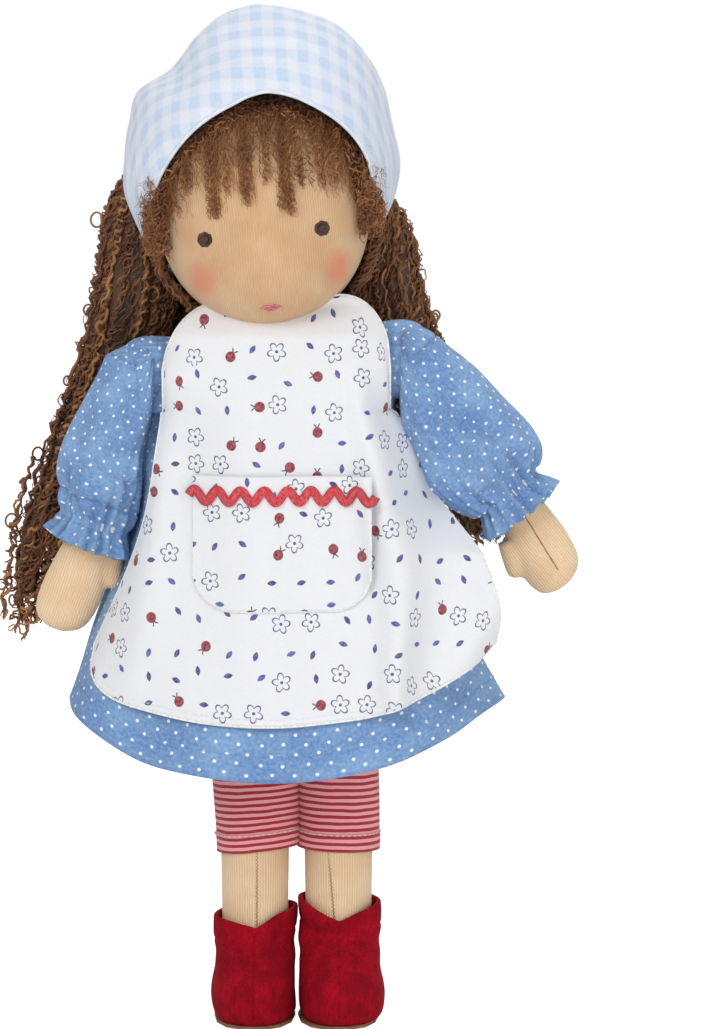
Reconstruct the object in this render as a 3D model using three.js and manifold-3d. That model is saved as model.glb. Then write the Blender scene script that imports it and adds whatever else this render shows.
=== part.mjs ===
// A waldorf doll, standing, 380 mm tall: a stuffed cloth doll with a yarn wig, a headscarf,
// a dress with puff sleeves, an apron with a patch pocket, striped leggings and velour boots.
// Millimetres, +Z up. The doll faces -Y, so its own left side is +X.
import * as THREE from "three";
import { mergeVertices } from "three/addons/utils/BufferGeometryUtils.js";
import Module from "manifold-3d";

const wasm = await Module();
wasm.setup();

// Cloth, skin and the gaps between layers
const gap = 0.3;
const skinWall = 0.8;
const clothWall = 0.8;
const overrun = 30;

// Torso
const torsoHeight = 104.8;
const torsoWidth = 81;
const torsoDepth = 46;
const torsoTopX = -6.6;
const torsoRoundness = 2.2;
const neckRadius = 11;
const neckClearance = 0.4;
const neckSeam = 1.6;
const stemLength = 16;

// Legs and hips
const legMiddleX = 3.2;
const hipHeight = 140;
const gatherRadius = 1.4;
const thighWidth = 26.4;
const ankleWidth = 25;
const footLength = 50;
const footHeight = 21;
const footWidth = 26;
const heelBack = 16.5;
const leggingHem = 63;
const leggingWall = 0.9;
const leggingSlack = { right: 2.6, left: 0.35 };
const seatHeight = 34;

// Boots
const soleThickness = 1.2;
const bootFloor = 1.2;
const bootWall = 2.2;
const bootHeight = { right: 38, left: 42.5 };
const bootFlare = 0.5;
const notchWidth = 9;
const notchDepth = 4;

// Arms and sleeves
const shoulderDrop = 12.5;
const shoulderHalf = 45;
const armForward = 3;
const armLength = 104.5;
const upperArmWidth = 20;
const wristWidth = 17;
const handWidth = 22.5;
const handThickness = 15;
const handDroop = 5;
const thumbLength = 13;
const thumbWidth = 7.5;
const armTilt = { right: 20, left: 39 };
const thumbTilt = 38;
const armholeClearance = 1.2;
const sleeveLength = 74;
const sleeveTopWidth = 26;
const sleevePuff = { right: 34.5, left: 39 };
const sleeveFlatness = 0.84;
const cuffWidth = 25;
const ruffleWidth = 31;
const ruffleLength = 9;
const elasticHeight = 3;
const elasticWall = 0.8;

// Dress
const dressTopX = -5;
const dressHemX = -3;
const waistDrop = 31.5;
const necklineDrop = 0.5;
const bodiceWidth = 88;
const bodiceDepth = 50;
const skirtWidth = 163;
const skirtDepth = 104;
const skirtFrontHem = 95;
const skirtSideHem = 120;
const foldDepth = 1.8;
const foldCount = 7;
const hemCurvePower = 1.8;
const sideFlarePower = 1.6;
const frontFlarePower = 1.2;
const snapRadius = 3;
const snapHeight = 1.4;
const snapSpacing = 11;
const snapRise = 5;

// Apron, pocket and braid
const apronLift = 1;
const apronHem = 114.6;
const apronHemRise = 10;
const apronCornerRise = 13;
const apronTopDrop = 1.5;
const apronTopWave = 9;
const apronSideFall = 19.8;
const apronFlare = 6;
const apronFlarePower = 3;
const apronHemPower = 2.5;
const pocketWidth = 65.3;
const pocketHeight = 49;
const pocketBottom = 156.7;
const pocketMiddleX = -2.8;
const pocketCorner = 14;
const braidWidth = 68.5;
const braidBand = 3.5;
const braidHeight = 7;
const braidPitch = 8.56;
const braidDrop = 7.4;
const neckbandHeight = 5;
const buttonRadius = 4.5;
const buttonThickness = 1.8;

// Head and face
const headTilt = 5.5;
const headWidth = 78.8;
const headCentre = 40;
const crownHeight = 46;
const chinFullness = 2.6;
const eyeSpacing = 44;
const eyeHeight = 33.7;
const eyeWidth = 5;
const eyeRise = 4.5;
const mouthHeight = 6.2;
const mouthWidth = 8.9;
const mouthRise = 2.4;
const stitchRaise = 0.7;
const threadWidth = 1.2;

// Wig and scarf
const wigThickness = 6;
const fringeThickness = 3;
const fringeBottom = 46;
const hairlineRise = 81;
const hairlineHalf = 36;
const scarfWidth = 102;
const scarfDepth = 88;
const scarfBottom = 29;
const scarfTop = 118;
const archRise = 85;
const archHalf = 41;
const archSpring = 45;
const flapPoint = 24;
const flapSlope = 1;
const sideTipBack = 2;
const sideSlope = 2.3;
const tieWidth = 7;
const tieThickness = 1.8;
const knotRadius = 5.5;
const rightLockLength = 176;
const rightLockWidth = 36;
const rightLockDepth = 21;
const leftLockLength = 133;
const leftLockWidth = 26;
const leftLockDepth = 18;
const backHairWidth = 92;
const backHairDepth = 12;
const backHairLength = 144;

// Numbers of sides and steps
const limbSides = 10;
const bodySides = 12;
const skirtSides = 28;
const braidSteps = 4;
const threadSides = 5;
const tieSides = 8;
const tieSteps = 6;
const archSteps = 14;
const headSides = 16;

const sides = ["right", "left"];
const signOf = { right: -1, left: 1 };

// Joining and cutting
function solidOf(geometry) {
  const bare = new THREE.BufferGeometry();
  const flat = geometry.index ? geometry.toNonIndexed() : geometry;
  bare.setAttribute("position", flat.getAttribute("position"));
  const merged = mergeVertices(bare, gap / 1000);
  const triVerts = new Uint32Array(merged.index.array);
  const vertProperties = merged.attributes.position.array;
  return new wasm.Manifold(new wasm.Mesh({ numProp: 3, vertProperties, triVerts }));
}

function geometryOf(solid) {
  const mesh = solid.getMesh();
  const positions = new Float32Array(mesh.numVert * 3);
  for (let i = 0; i < mesh.numVert; i += 1) {
    const start = i * mesh.numProp;
    positions.set(mesh.vertProperties.subarray(start, start + 3), i * 3);
  }
  const geometry = new THREE.BufferGeometry();
  geometry.setAttribute("position", new THREE.BufferAttribute(positions, 3));
  geometry.setIndex(new THREE.BufferAttribute(mesh.triVerts, 1));
  return geometry;
}

function moved(solid, matrix) {
  return solidOf(geometryOf(solid).applyMatrix4(matrix));
}

function cutAll(solid, cutters) {
  return cutters.reduce((rest, cutter) => rest.subtract(cutter), solid);
}

// The largest piece of a solid that a cut may have left in crumbs
function largest(solid) {
  const pieces = solid.decompose();
  return pieces.reduce((a, b) => (b.volume() > a.volume() ? b : a));
}

// A box between two corners
function block(low, high) {
  const size = high.clone().sub(low);
  const box = new THREE.BoxGeometry(size.x, size.y, size.z);
  const middle = low.clone().add(high).multiplyScalar(1 / 2);
  return solidOf(box.translate(middle.x, middle.y, middle.z));
}

// Everything below a height, as a cutter
function below(height) {
  const reach = 10 * overrun;
  return block(new THREE.Vector3(-reach, -reach, height - reach), new THREE.Vector3(reach, reach, height));
}

// Everything above a height, as a cutter
function above(height) {
  const reach = 10 * overrun;
  return block(new THREE.Vector3(-reach, -reach, height), new THREE.Vector3(reach, reach, height + reach));
}

// Lofts: a section is { x, y, z, a, b }, its centre and its half-width and half-depth
function ovalRing(section, count, roundness) {
  const ring = [];
  for (let i = 0; i < count; i += 1) {
    const turn = (2 * Math.PI * i) / count;
    const c = Math.cos(turn);
    const s = Math.sin(turn);
    const u = Math.sign(c) * Math.abs(c) ** (2 / roundness) * section.a;
    const v = Math.sign(s) * Math.abs(s) ** (2 / roundness) * section.b;
    ring.push(new THREE.Vector3(section.x + u, section.y + v, section.z));
  }
  return ring;
}

function ringsGeometry(rings) {
  const count = rings[0].length;
  const points = rings.flat();
  const last = (rings.length - 1) * count;
  const faces = [];
  for (let i = 0; i < rings.length - 1; i += 1) {
    for (let j = 0; j < count; j += 1) {
      const k = (j + 1) % count;
      const a = i * count + j;
      const b = i * count + k;
      faces.push(a, b, b + count, a, b + count, a + count);
    }
  }
  const foot = points.length;
  const head = foot + 1;
  points.push(middleOf(rings[0]), middleOf(rings[rings.length - 1]));
  for (let j = 0; j < count; j += 1) {
    const k = (j + 1) % count;
    faces.push(foot, k, j, head, last + j, last + k);
  }
  return new THREE.BufferGeometry().setFromPoints(points).setIndex(faces);
}

function middleOf(ring) {
  const sum = ring.reduce((total, point) => total.add(point), new THREE.Vector3());
  return sum.divideScalar(ring.length);
}

function loft(sections, count, roundness = 2) {
  return solidOf(ringsGeometry(sections.map((section) => ovalRing(section, count, roundness))));
}

// Sections made larger by an amount all round, the ends too
function grown(sections, by) {
  return sections.map((section, i) => {
    const end = i === 0 ? -by : i === sections.length - 1 ? by : 0;
    return { ...section, a: section.a + by, b: section.b + by, z: section.z + end };
  });
}

// Sections whose first or last one is carried on past the end, to cut an opening
function opened(sections, atStart, atEnd) {
  const out = sections.map((section) => ({ ...section }));
  const first = sections[0];
  const last = sections[sections.length - 1];
  if (atStart) out.unshift({ ...first, z: first.z - overrun });
  if (atEnd) out.push({ ...last, z: last.z + overrun });
  return out;
}

function shell(sections, wall, count, atStart, atEnd, roundness = 2) {
  const outer = loft(sections, count, roundness);
  const inner = loft(opened(grown(sections, -wall), atStart, atEnd), count, roundness);
  return outer.subtract(inner);
}

function turned(degreesAboutX, degreesAboutY, place) {
  const turn = new THREE.Euler(
    THREE.MathUtils.degToRad(degreesAboutX),
    THREE.MathUtils.degToRad(degreesAboutY),
    0,
  );
  return new THREE.Matrix4().makeRotationFromEuler(turn).setPosition(place);
}

// A sheet through a grid of points, rows going down and columns across, thickened outwards by wall
function sheet(grid, wall) {
  const rows = grid.length;
  const columns = grid[0].length;
  const under = grid.map((row, i) =>
    row.map((point, j) => {
      const alongRow = grid[i][Math.min(j + 1, columns - 1)].clone().sub(grid[i][Math.max(j - 1, 0)]);
      const downGrid = grid[Math.min(i + 1, rows - 1)][j].clone().sub(grid[Math.max(i - 1, 0)][j]);
      return point.clone().addScaledVector(downGrid.cross(alongRow).normalize(), wall);
    }),
  );
  const points = grid.flat().concat(under.flat());
  const back = rows * columns;
  const faces = [];
  const quad = (a, b, c, d) => faces.push(a, c, b, a, d, c);
  for (let i = 0; i < rows - 1; i += 1) {
    for (let j = 0; j < columns - 1; j += 1) {
      const a = i * columns + j;
      quad(a, a + columns, a + columns + 1, a + 1);
      quad(back + a, back + a + 1, back + a + columns + 1, back + a + columns);
    }
  }
  for (let j = 0; j < columns - 1; j += 1) {
    const end = (rows - 1) * columns + j;
    quad(j, j + 1, back + j + 1, back + j);
    quad(end + 1, end, back + end, back + end + 1);
  }
  for (let i = 0; i < rows - 1; i += 1) {
    const start = i * columns;
    const end = start + columns - 1;
    quad(start + columns, start, back + start, back + start + columns);
    quad(end, end + columns, back + end + columns, back + end);
  }
  return solidOf(new THREE.BufferGeometry().setFromPoints(points).setIndex(faces));
}

// Materials
function cloth(colour, roughness = 0.9) {
  return new THREE.MeshStandardMaterial({ color: colour, roughness, metalness: 0 });
}

const materials = {
  tricot: cloth("#dfb88c"),
  wool: cloth("#efe8d8"),
  yarn: cloth("#75502f"),
  thread: cloth("#4a2b1c"),
  lips: cloth("#c76b7b"),
  gingham: cloth("#b9d4f0"),
  dress: cloth("#6e9bd0"),
  apron: cloth("#f4f4f3"),
  braid: cloth("#d9203a"),
  leggings: cloth("#cf5f70"),
  velour: cloth("#a3122a"),
  sole: cloth("#8a5a48"),
  elastic: cloth("#e8e8e8", 0.6),
  button: cloth("#f2efe8", 0.4),
};

function named(name, solid, material) {
  const mesh = new THREE.Mesh(geometryOf(largest(solid)), material);
  mesh.name = name;
  return mesh;
}

// Half planes: everything beyond a plane across x, towards sign, as a cutter
function beyond(plane, sign) {
  const reach = 10 * overrun;
  const far = plane + sign * reach;
  return block(
    new THREE.Vector3(Math.min(plane, far), -reach, -reach),
    new THREE.Vector3(Math.max(plane, far), reach, reach),
  );
}

// Torso: its underside clears the legs' round tops, which turn about the hips
const hipRadius = thighWidth / 2 + gap + leggingWall;
const torsoBottom = hipHeight + hipRadius + gap;
const torsoTop = torsoBottom + torsoHeight;
const shoulderHeight = torsoTop - shoulderDrop;
const waistHeight = torsoTop - waistDrop;
const necklineHeight = torsoTop - necklineDrop;
const apronTop = torsoTop - apronTopDrop;
const apronShoulder = apronTop + apronTopWave;
const headPivotX = torsoTopX;
const headPivotHeight = torsoTop + 2 * threadWidth + 2 * gap;

const torsoShares = [
  [0, 0.7, 0.7],
  [0.04, 0.87, 0.89],
  [0.18, 0.925, 1],
  [0.37, 0.9, 0.96],
  [0.56, 0.9, 0.935],
  [0.745, 0.975, 0.915],
  [0.85, 1, 0.87],
  [0.915, 0.82, 0.76],
  [0.962, 0.56, 0.66],
];

function torsoSections() {
  const sections = torsoShares.map(([rise, wide, deep]) => ({
    x: torsoTopX + (legMiddleX - torsoTopX) * (1 - rise),
    y: 0,
    z: torsoBottom + rise * torsoHeight,
    a: (wide * torsoWidth) / 2,
    b: (deep * torsoDepth) / 2,
  }));
  const collar = neckRadius + neckClearance + skinWall + neckSeam;
  sections.push({ x: torsoTopX, y: 0, z: torsoTop, a: collar, b: collar });
  return sections;
}

// The dress surface: centre and half sizes at a height, bodice above the waist and skirt below
const bodiceShares = [
  [0, 1, 1],
  [0.4, 1.01, 0.98],
  [0.65, 1, 0.92],
  [0.84, 0.85, 0.82],
  [1, 0.6, 0.7],
];

function bodiceSections(by) {
  return bodiceShares.map(([rise, wide, deep]) => ({
    x: dressTopX,
    y: 0,
    z: waistHeight + gap + rise * (necklineHeight - waistHeight - gap),
    a: (wide * bodiceWidth) / 2 + by,
    b: (deep * bodiceDepth) / 2 + by,
  }));
}

// The bodice's half sizes at a height
function bodiceAt(height) {
  const sections = bodiceSections(0);
  const next = Math.max(1, sections.findIndex((section) => section.z >= height));
  const [low, high] = [sections[next - 1], sections[next]];
  const share = (height - low.z) / (high.z - low.z);
  return { a: low.a + (high.a - low.a) * share, b: low.b + (high.b - low.b) * share };
}

function hemHeight(turn) {
  return skirtSideHem - (skirtSideHem - skirtFrontHem) * Math.abs(Math.sin(turn)) ** hemCurvePower;
}

function skirtPoint(turn, drop, by, foldShare = 1) {
  const fold = foldShare * foldDepth * drop ** 2 * Math.cos(foldCount * turn);
  const a = (bodiceWidth + (skirtWidth - bodiceWidth) * drop ** sideFlarePower) / 2 + fold + by;
  const b = (bodiceDepth + (skirtDepth - bodiceDepth) * drop ** frontFlarePower) / 2 + fold + by;
  const x = dressTopX + (dressHemX - dressTopX) * drop;
  const z = waistHeight - drop * (waistHeight - hemHeight(turn));
  return new THREE.Vector3(x + a * Math.cos(turn), b * Math.sin(turn), z);
}

function skirtPointAt(turn, height, by) {
  const drop = (waistHeight - height) / (waistHeight - hemHeight(turn));
  return skirtPoint(turn, Math.max(0, drop), by);
}

const skirtDropShares = [0, 0.14, 0.3, 0.5, 0.72, 0.88, 1];

function skirtLoft(by, foldShare) {
  const drops = [...skirtDropShares].reverse();
  const rings = drops.map((drop) => {
    const ring = [];
    for (let i = 0; i < skirtSides; i += 1) {
      ring.push(skirtPoint((2 * Math.PI * i) / skirtSides, drop, by, foldShare));
    }
    return ring;
  });
  return rings;
}

// The rings with their end rings carried on straight down and up
function carriedOn(rings, downBy, upBy) {
  const shifted = (ring, by) => ring.map((point) => point.clone().setZ(point.z + by));
  return [shifted(rings[0], -downBy), ...rings, shifted(rings[rings.length - 1], upBy)];
}

// All that the skirt and the apron fill, with clearance: arms and hair stay out of it
function skirtEnvelope() {
  const by = apronLift + clothWall + gap;
  const rings = carriedOn(skirtLoft(by, 1), gap, gap);
  return solidOf(ringsGeometry(rings));
}

function headMatrix() {
  return turned(0, -headTilt, new THREE.Vector3(headPivotX, 0, headPivotHeight));
}

function neckBore() {
  const radius = neckRadius + neckClearance;
  const bore = new THREE.CylinderGeometry(radius, radius, 2 * (stemLength + gap), limbSides * 2);
  return moved(solidOf(bore.rotateX(Math.PI / 2)), headMatrix());
}

function torsoNodes() {
  const sections = torsoSections();
  const skin = shell(sections, skinWall, bodySides, false, true, torsoRoundness);
  const inside = grown(sections, -skinWall - gap);
  const stuffing = loft(inside, bodySides, torsoRoundness);
  return [
    named("torso_skin", cutAll(skin, [neckBore()]), materials.tricot),
    named("torso_stuffing", cutAll(stuffing, [neckBore()]), materials.wool),
    named("legging_seat", seat(sections), materials.leggings),
    named("neck_thread", neckThread(), materials.thread),
  ];
}

function seat(sections) {
  const outer = loft(grown(sections, gap + leggingWall), bodySides, torsoRoundness);
  const inner = loft(grown(sections, gap), bodySides, torsoRoundness);
  return cutAll(outer, [inner, above(torsoBottom + seatHeight), below(torsoBottom + gap)]);
}

function neckThread() {
  const across = neckRadius + neckClearance + threadWidth / 2;
  const ring = new THREE.TorusGeometry(across, threadWidth / 2, threadSides, limbSides * 2);
  return moved(solidOf(ring.translate(0, 0, -threadWidth / 2)), headMatrix());
}

// Dress
function dressNodes() {
  const outer = loft(bodiceSections(0), bodySides * 2);
  const inner = loft(opened(bodiceSections(-clothWall), true, true), bodySides * 2);
  const bodice = cutAll(outer, [inner, armhole("right"), armhole("left"), outside("right", 0), outside("left", 0)]);
  const skirtOuter = solidOf(ringsGeometry(skirtLoft(0, 1)));
  const skirtInner = solidOf(ringsGeometry(carriedOn(skirtLoft(-clothWall, 1), overrun, overrun)));
  const nodes = [
    named("dress_bodice", bodice, materials.dress),
    named("dress_skirt", skirtOuter.subtract(skirtInner), materials.dress),
  ];
  for (const [i, name] of ["upper", "lower"].entries()) {
    nodes.push(named("dress_snap_" + name, snap(waistHeight + snapRise + (1 - i) * snapSpacing), materials.button));
  }
  return nodes;
}

function armhole(side) {
  const radius = upperArmWidth / 2 + armholeClearance;
  const reach = shoulderHalf + overrun;
  const hole = new THREE.CylinderGeometry(radius, radius, reach, limbSides * 2).rotateZ(Math.PI / 2);
  const middle = dressTopX + (signOf[side] * (reach + upperArmWidth)) / 2;
  return solidOf(hole.translate(middle, -armForward, shoulderHeight));
}

// The shoulder plane of a side, moved out by an amount, and what lies outside and inside it
function shoulderPlane(side, by) {
  return dressTopX + signOf[side] * (shoulderHalf + by);
}

function outside(side, by) {
  return beyond(shoulderPlane(side, by), signOf[side]);
}

function inside(side, by) {
  return beyond(shoulderPlane(side, by), -signOf[side]);
}

// A snap on the bodice's back, seated on the curved cloth
function snap(height) {
  const length = bodiceDepth / 3;
  const disc = new THREE.CylinderGeometry(snapRadius, snapRadius, length, limbSides);
  const size = bodiceAt(height);
  disc.translate(dressTopX, size.b + snapHeight - length / 2, height);
  return solidOf(disc).subtract(loft(bodiceSections(gap), bodySides * 2));
}

// Apron: how far round it reaches, how its bib leans back, and where its edges turn
const bibReachShare = 0.92;
const hemReachShare = 0.05;
const bibLeanShare = 0.3;
const topWaveShare = 0.9;
const topFallShare = 0.55;
const hemCornerShare = 0.82;
const pocketCornerShare = 0.8;
const neckbandTurnShare = 1.2;

function apronHalfSizes(height, by) {
  const drop = Math.max(0, (waistHeight - height) / (waistHeight - skirtFrontHem));
  const rise = Math.max(0, (height - waistHeight) / (apronShoulder - waistHeight));
  const flare = apronFlare * drop;
  return {
    x: dressTopX + (dressHemX - dressTopX) * drop,
    flare,
    a: bodiceWidth / 2 + by,
    b: (bodiceDepth * (1 - bibLeanShare * rise ** 2)) / 2 + by,
  };
}

// Where the apron runs: share -1 to 1 across the front at a height
function apronPoint(share, height, by) {
  const size = apronHalfSizes(height, by);
  if (height >= waistHeight) {
    const turn = -Math.acos(share * bibReachShare);
    return new THREE.Vector3(size.x + size.a * Math.cos(turn), size.b * Math.sin(turn), height);
  }
  const turn = -Math.acos(share * apronReach(height));
  const point = skirtPointAt(turn, height, by);
  const outward = size.flare * Math.max(0, share) ** apronFlarePower;
  return point.add(new THREE.Vector3(outward, -outward / 2, 0));
}

// How far round to the sides the apron's edges reach at a height below the waist
function apronReach(height) {
  const drop = Math.min(1, (waistHeight - height) / (waistHeight - skirtSideHem));
  return bibReachShare + hemReachShare * drop;
}

function apronTopEdge(share) {
  const rise = Math.sin(Math.PI * Math.min(1, Math.abs(share) / topWaveShare)) ** 2;
  const fall = Math.max(0, Math.abs(share) - topFallShare) / (1 - topFallShare);
  return apronTop + apronTopWave * rise - apronSideFall * fall ** 2;
}

function apronBottomEdge(share) {
  const corner = Math.max(0, Math.abs(share) - hemCornerShare) / (1 - hemCornerShare);
  return apronHem + apronHemRise * Math.abs(share) ** apronHemPower + apronCornerRise * corner ** 2;
}

function apronPanel() {
  const columns = 14;
  const rows = 8;
  const grid = [];
  for (let i = 0; i <= rows; i += 1) {
    const row = [];
    for (let j = 0; j <= columns; j += 1) {
      const share = Math.sin((Math.PI / 2) * ((2 * j) / columns - 1));
      const top = apronTopEdge(share);
      const height = top + (apronBottomEdge(share) - top) * (i / rows);
      row.push(apronPoint(share, height, apronLift));
    }
    grid.push(row);
  }
  return sheet(grid, clothWall);
}

// A point of the apron's front at a distance across, lifted off it
function onApron(x, height, by) {
  let low = -Math.PI;
  let high = 0;
  for (let i = 0; i < 24; i += 1) {
    const turn = (low + high) / 2;
    if (skirtPointAt(turn, height, by).x < x) low = turn;
    else high = turn;
  }
  const size = apronHalfSizes(height, by);
  const outward = size.flare * Math.max(0, Math.cos(low) / apronReach(height)) ** apronFlarePower;
  return skirtPointAt(low, height, by).add(new THREE.Vector3(0, -outward / 2, 0));
}

function pocket() {
  const columns = 10;
  const rows = 6;
  const by = apronLift + clothWall + 2 * gap;
  const grid = [];
  for (let i = 0; i <= rows; i += 1) {
    const row = [];
    for (let j = 0; j <= columns; j += 1) {
      const across = (2 * j) / columns - 1;
      const x = pocketMiddleX + (across * pocketWidth) / 2;
      const inset = Math.max(0, Math.abs(across * pocketWidth) / 2 - (pocketWidth / 2 - pocketCorner));
      const lift = pocketCorner - Math.sqrt(Math.max(0, pocketCorner ** 2 - inset ** 2));
      const bottom = pocketBottom + Math.min(lift, pocketCorner * pocketCornerShare);
      const top = pocketBottom + pocketHeight;
      row.push(onApron(x, top + (bottom - top) * (i / rows), by));
    }
    grid.push(row);
  }
  return sheet(grid, clothWall);
}

function braid() {
  const waves = Math.round(braidWidth / braidPitch);
  const steps = waves * braidSteps;
  const by = apronLift + 2 * clothWall + 3 * gap;
  const middle = pocketBottom + pocketHeight - braidDrop;
  const swing = (braidHeight - braidBand) / 2;
  const grid = [[], []];
  for (let j = 0; j <= steps; j += 1) {
    const x = pocketMiddleX + braidWidth * (j / steps - 1 / 2);
    const wave = swing * Math.sin((2 * Math.PI * waves * j) / steps);
    grid[0].push(onApron(x, middle + wave + braidBand / 2, by));
    grid[1].push(onApron(x, middle + wave - braidBand / 2, by));
  }
  return sheet(grid, clothWall);
}

// The band that runs from the bib round the back of the neck
function neckband() {
  const columns = 16;
  const by = apronLift;
  const grid = [[], []];
  for (let j = 0; j <= columns; j += 1) {
    const turn = Math.PI * (neckbandTurnShare * (j / columns) - (neckbandTurnShare - 1) / 2);
    for (const [i, row] of grid.entries()) {
      const height = apronTop - gap - i * neckbandHeight;
      const size = bodiceAt(height);
      const x = dressTopX + (size.a + by) * Math.cos(turn);
      row.push(new THREE.Vector3(x, (size.b + by) * Math.sin(turn), height));
    }
  }
  return sheet(grid, clothWall).subtract(loft(bodiceSections(gap), bodySides * 2));
}

function apronButton() {
  const disc = new THREE.CylinderGeometry(buttonRadius, buttonRadius, buttonThickness, limbSides);
  const height = apronTop - neckbandHeight;
  const back = bodiceAt(height).b + apronLift + clothWall + gap + buttonThickness / 2;
  return solidOf(disc.translate(dressTopX, back, height));
}

function apronNodes() {
  return [
    named("apron_panel", apronPanel(), materials.apron),
    named("apron_pocket", pocket(), materials.apron),
    named("rickrack_braid", braid(), materials.braid),
    named("apron_neckband", neckband(), materials.apron),
    named("apron_button", apronButton(), materials.button),
  ];
}

// Arms: built hanging straight down from the shoulder, then swung out sideways
const armShares = [
  [-1, 0.55, 0.62, 1],
  [-0.965, 0.82, 0.86, 0.93],
  [-0.9, 1, 1, 0.75],
  [-0.8, 0.98, 1, 0.4],
];

// Height below or above the shoulder, as a share of the arm's length or the upper arm's width
const wristShare = 0.68;
const elbowShare = 0.35;
const shoulderDomeShares = [
  [0.35, 0.34],
  [0.46, 0.14],
];
const stubInsetShare = 0.4;

// The thumb: how blunt its tip is, how soon it is full, and where it leaves the hand
const thumbTipShare = 0.3;
const thumbFullShare = 0.25;
const thumbAsideShare = 0.15;
const thumbDropShare = 0.86;

function armSections() {
  const hand = armShares.map(([drop, wide, thick, droop]) => ({
    x: droop * handDroop,
    y: 0,
    z: drop * armLength,
    a: (wide * handWidth) / 2,
    b: (thick * handThickness) / 2,
  }));
  const arm = [
    { x: 0, y: 0, z: -wristShare * armLength, a: wristWidth / 2, b: wristWidth / 2 },
    { x: 0, y: 0, z: -elbowShare * armLength, a: upperArmWidth / 2, b: upperArmWidth / 2 },
    { x: 0, y: 0, z: 0, a: upperArmWidth / 2, b: upperArmWidth / 2 },
  ];
  const dome = shoulderDomeShares.map(([rise, half]) => ({
    x: 0,
    y: 0,
    z: rise * upperArmWidth,
    a: half * upperArmWidth,
    b: half * upperArmWidth,
  }));
  return [...hand, ...arm, ...dome];
}

function thumb(by) {
  const sections = [
    { x: 0, y: 0, z: 0, a: thumbWidth * thumbTipShare, b: thumbWidth * thumbTipShare },
    { x: 0, y: 0, z: thumbLength * thumbFullShare, a: thumbWidth / 2, b: thumbWidth / 2 },
    { x: 0, y: 0, z: thumbLength, a: thumbWidth / 2, b: thumbWidth / 2 },
  ];
  const aside = handDroop + handWidth / 2 + thumbWidth * thumbAsideShare;
  const place = new THREE.Vector3(aside, 0, -thumbDropShare * armLength);
  return moved(loft(grown(sections, by), limbSides), turned(0, -thumbTilt, place));
}

// The arm's form in the doll's frame, larger by an amount; the stub runs into the shoulder
function armForm(side, by) {
  const hanging = loft(grown(armSections(), by), limbSides).add(thumb(by));
  const mirror = new THREE.Matrix4().makeScale(side === "right" ? 1 : -1, 1, 1);
  const geometry = geometryOf(hanging).applyMatrix4(mirror);
  if (side === "left") flipFaces(geometry);
  const place = shoulderPoint(side);
  const hung = geometry.applyMatrix4(turned(0, signOf[side] * -armTilt[side], place));
  const stubRadius = upperArmWidth / 2 + by;
  const stub = new THREE.CylinderGeometry(stubRadius, stubRadius, upperArmWidth + by, limbSides * 2);
  stub.rotateZ(Math.PI / 2).translate(place.x - signOf[side] * upperArmWidth * stubInsetShare, place.y, place.z);
  return solidOf(hung).add(solidOf(stub));
}

function flipFaces(geometry) {
  const index = geometry.index.array;
  for (let i = 0; i < index.length; i += 3) {
    [index[i + 1], index[i + 2]] = [index[i + 2], index[i + 1]];
  }
}

function shoulderPoint(side) {
  return new THREE.Vector3(dressTopX + signOf[side] * (shoulderHalf + gap), -armForward, shoulderHeight);
}

// Everything on the torso's side of a plane just outside the torso skin
function torsoSide(side) {
  const high = torsoSections().filter((section) => section.z > shoulderHeight - upperArmWidth);
  const edge = Math.max(...high.map((section) => signOf[side] * section.x + section.a));
  return beyond(signOf[side] * (edge + 2 * gap), -signOf[side]);
}

// What of an arm lies on the body's side of the shoulder plane and outside its round stub
function besideStub(side) {
  const radius = upperArmWidth / 2 + gap;
  const stub = new THREE.CylinderGeometry(radius, radius, 20 * overrun, limbSides).rotateZ(Math.PI / 2);
  return inside(side, gap).subtract(solidOf(stub.translate(0, -armForward, shoulderHeight)));
}

function armNodes(side) {
  const envelope = skirtEnvelope();
  const cutters = [envelope, besideStub(side), torsoSide(side)];
  const skin = armForm(side, 0).subtract(armForm(side, -skinWall));
  const stuffing = armForm(side, -skinWall - gap);
  return [
    named("arm_" + side + "_skin", cutAll(skin, cutters), materials.tricot),
    named("arm_" + side + "_stuffing", cutAll(stuffing, cutters), materials.wool),
    named("sleeve_" + side, cutAll(sleeve(side), [envelope, inside(side, gap)]), materials.dress),
    named("cuff_elastic_" + side, cutAll(cuffElastic(side), [envelope]), materials.elastic),
  ];
}

// The sleeve: how the ruffle draws in, the puff's heights above the cuff with their widths, and the head above the shoulder
const ruffleRiseShare = 0.45;
const ruffleShare = 0.9;
const puffShares = [
  [0.12, 0.88],
  [0.3, 1],
  [0.55, 0.95],
];
const sleeveJoinShare = 0.8;
const sleeveHeadShares = [
  [0.3, 0.4],
  [0.46, 0.2],
];

function sleeveSections(side, by) {
  const puff = sleevePuff[side];
  const cuffAt = ruffleLength - sleeveLength;
  const puffLength = sleeveLength - ruffleLength;
  const rings = [
    [-sleeveLength, ruffleWidth / 2],
    [cuffAt - ruffleLength * ruffleRiseShare, (ruffleWidth * ruffleShare) / 2],
    [cuffAt, cuffWidth / 2],
    ...puffShares.map(([rise, wide]) => [cuffAt + puffLength * rise, (puff * wide) / 2]),
    [cuffAt + puffLength * sleeveJoinShare, (puff + sleeveTopWidth) / 4],
    [0, sleeveTopWidth / 2],
    ...sleeveHeadShares.map(([rise, half]) => [sleeveTopWidth * rise, sleeveTopWidth * half]),
  ];
  return rings.map(([z, half]) => ({
    x: 0,
    y: 0,
    z,
    a: half + by,
    b: Math.max(half * sleeveFlatness, Math.min(half, cuffWidth / 2)) + by,
  }));
}

function hungSleeve(side, solid) {
  return moved(solid, turned(0, signOf[side] * -armTilt[side], shoulderPoint(side)));
}

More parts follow.
